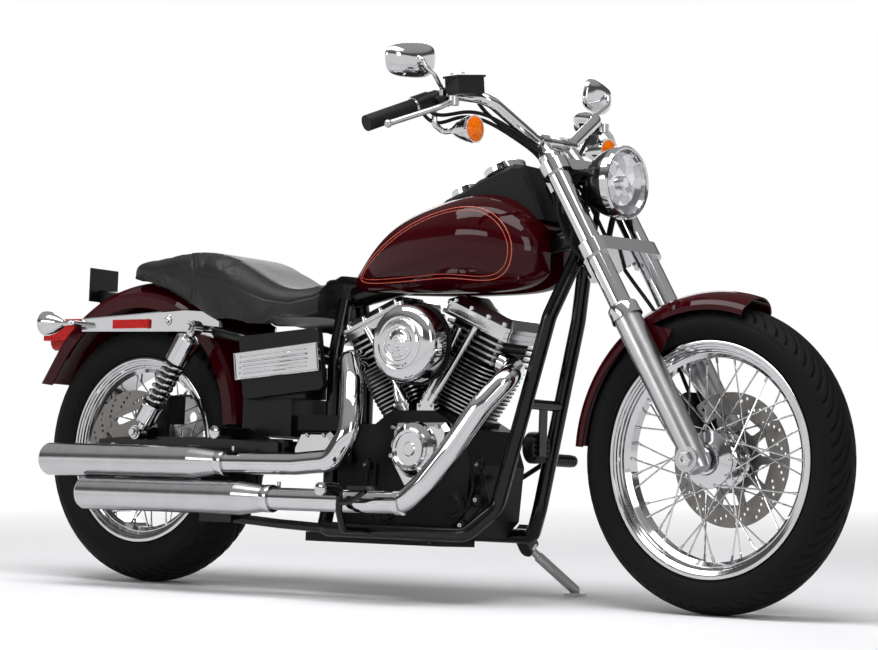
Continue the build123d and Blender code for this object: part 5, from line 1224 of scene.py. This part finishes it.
def side_seam(x):
    """The height of the seam on the seat's side at a place along it."""
    for (x0, low0, high0), (x1, low1, high1) in zip(SEAT_EDGE, SEAT_EDGE[1:]):
        if x <= x1 or (x1, low1, high1) == SEAT_EDGE[-1]:
            part = max(0, min(1, (x - x0) / (x1 - x0)))
            low, high = low0 + (low1 - low0) * part, high0 + (high1 - high0) * part
            return low + (high - low) * SIDE_SEAM_SHARE


def groove(distance, width, depth):
    """The depth of a rounded groove at a distance from its middle."""
    return depth * max(0, 1 - (distance / width) ** 2) if abs(distance) < width else 0


def padded_seat():
    """The seat's solid, remeshed, drawn in by the swell, blown out as cloth and grooved along its seams."""
    bm = bmesh.new()
    bm.from_mesh(frame["nodes"]["seat"].data)
    bmesh.ops.remove_doubles(bm, verts=bm.verts, dist=1e-5)
    mesh = bpy.data.meshes.new("padded_seat")
    bm.to_mesh(mesh)
    bm.free()
    pad = bpy.data.objects.new("padded_seat", mesh)
    bpy.context.scene.collection.objects.link(pad)
    remesh = pad.modifiers.new("remesh", "REMESH")
    remesh.mode, remesh.voxel_size = "VOXEL", VOXEL
    apply_modifiers(pad)
    outwards = [vert.normal.copy() for vert in pad.data.vertices]
    for vert, normal in zip(pad.data.vertices, outwards):
        vert.co -= normal * SWELL
    start = [vert.co.copy() for vert in pad.data.vertices]
    cloth = pad.modifiers.new("cloth", "CLOTH")
    cloth.settings.quality = 3
    cloth.settings.use_pressure = True
    cloth.settings.uniform_pressure_force = PRESSURE
    cloth.settings.effector_weights.gravity = 0
    cloth.settings.tension_stiffness = cloth.settings.compression_stiffness = STIFFNESS
    for number in range(1, CLOTH_FRAMES + 1):
        bpy.context.scene.frame_set(number)
    apply_modifiers(pad)
    bpy.context.scene.frame_set(1)
    for vert, before, normal in zip(pad.data.vertices, start, outwards):
        move = vert.co - before
        if normal.z < -0.3:
            move *= 0
        if move.length > SWELL:
            move *= SWELL / move.length
        vert.co = before + move
    finer = pad.modifiers.new("finer", "SUBSURF")
    finer.levels = finer.render_levels = 1
    apply_modifiers(pad)
    drawn = machine.inverted()
    faced = [vert.normal.copy() for vert in pad.data.vertices]
    for vert, normal in zip(pad.data.vertices, faced):
        if normal.z < -0.5:
            continue
        x, y, z = drawn @ vert.co
        past = x - (SEAM - abs(y) * 0.05 + max(0, abs(y) - 40) * 1.15)
        depth = max(groove(past, 4, 2.6), groove(past - SEAM_GAP, 3, 1.6))
        if past > 0 and abs(y) > SIDE_SEAM_HALF:
            depth = max(depth, groove(z - side_seam(x), 3.5, 2.4))
        if depth:
            vert.co -= normal * depth * 0.001
    pad.data.shade_smooth()
    pad.data.materials.clear()
    pad.data.materials.append(leather.material)
    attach(pad, "frame")
    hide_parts("seat")


padded_seat()


# --- Foot pegs ---
# Steel pegs in rubber sleeves: a forward pair for the rider, and one further back for the passenger. A
# chromed cap is pressed on the end of each.
PEG_TIPS = ((-8, 334, 240), (-400, 255.3, 366))


def peg_ends(bm):
    cap = [(0, 2.5), (8, 2), (12, 0.3), (15.2, -1.5), (15.2, -8), (14, -8)]
    for x, y, z in PEG_TIPS:
        for side in (-1, 1):
            lathe(bm, cap, along((x, side * y, z), (0, side, 0)), 32)


new_piece("peg_ends", peg_ends, chrome, "frame", machine)
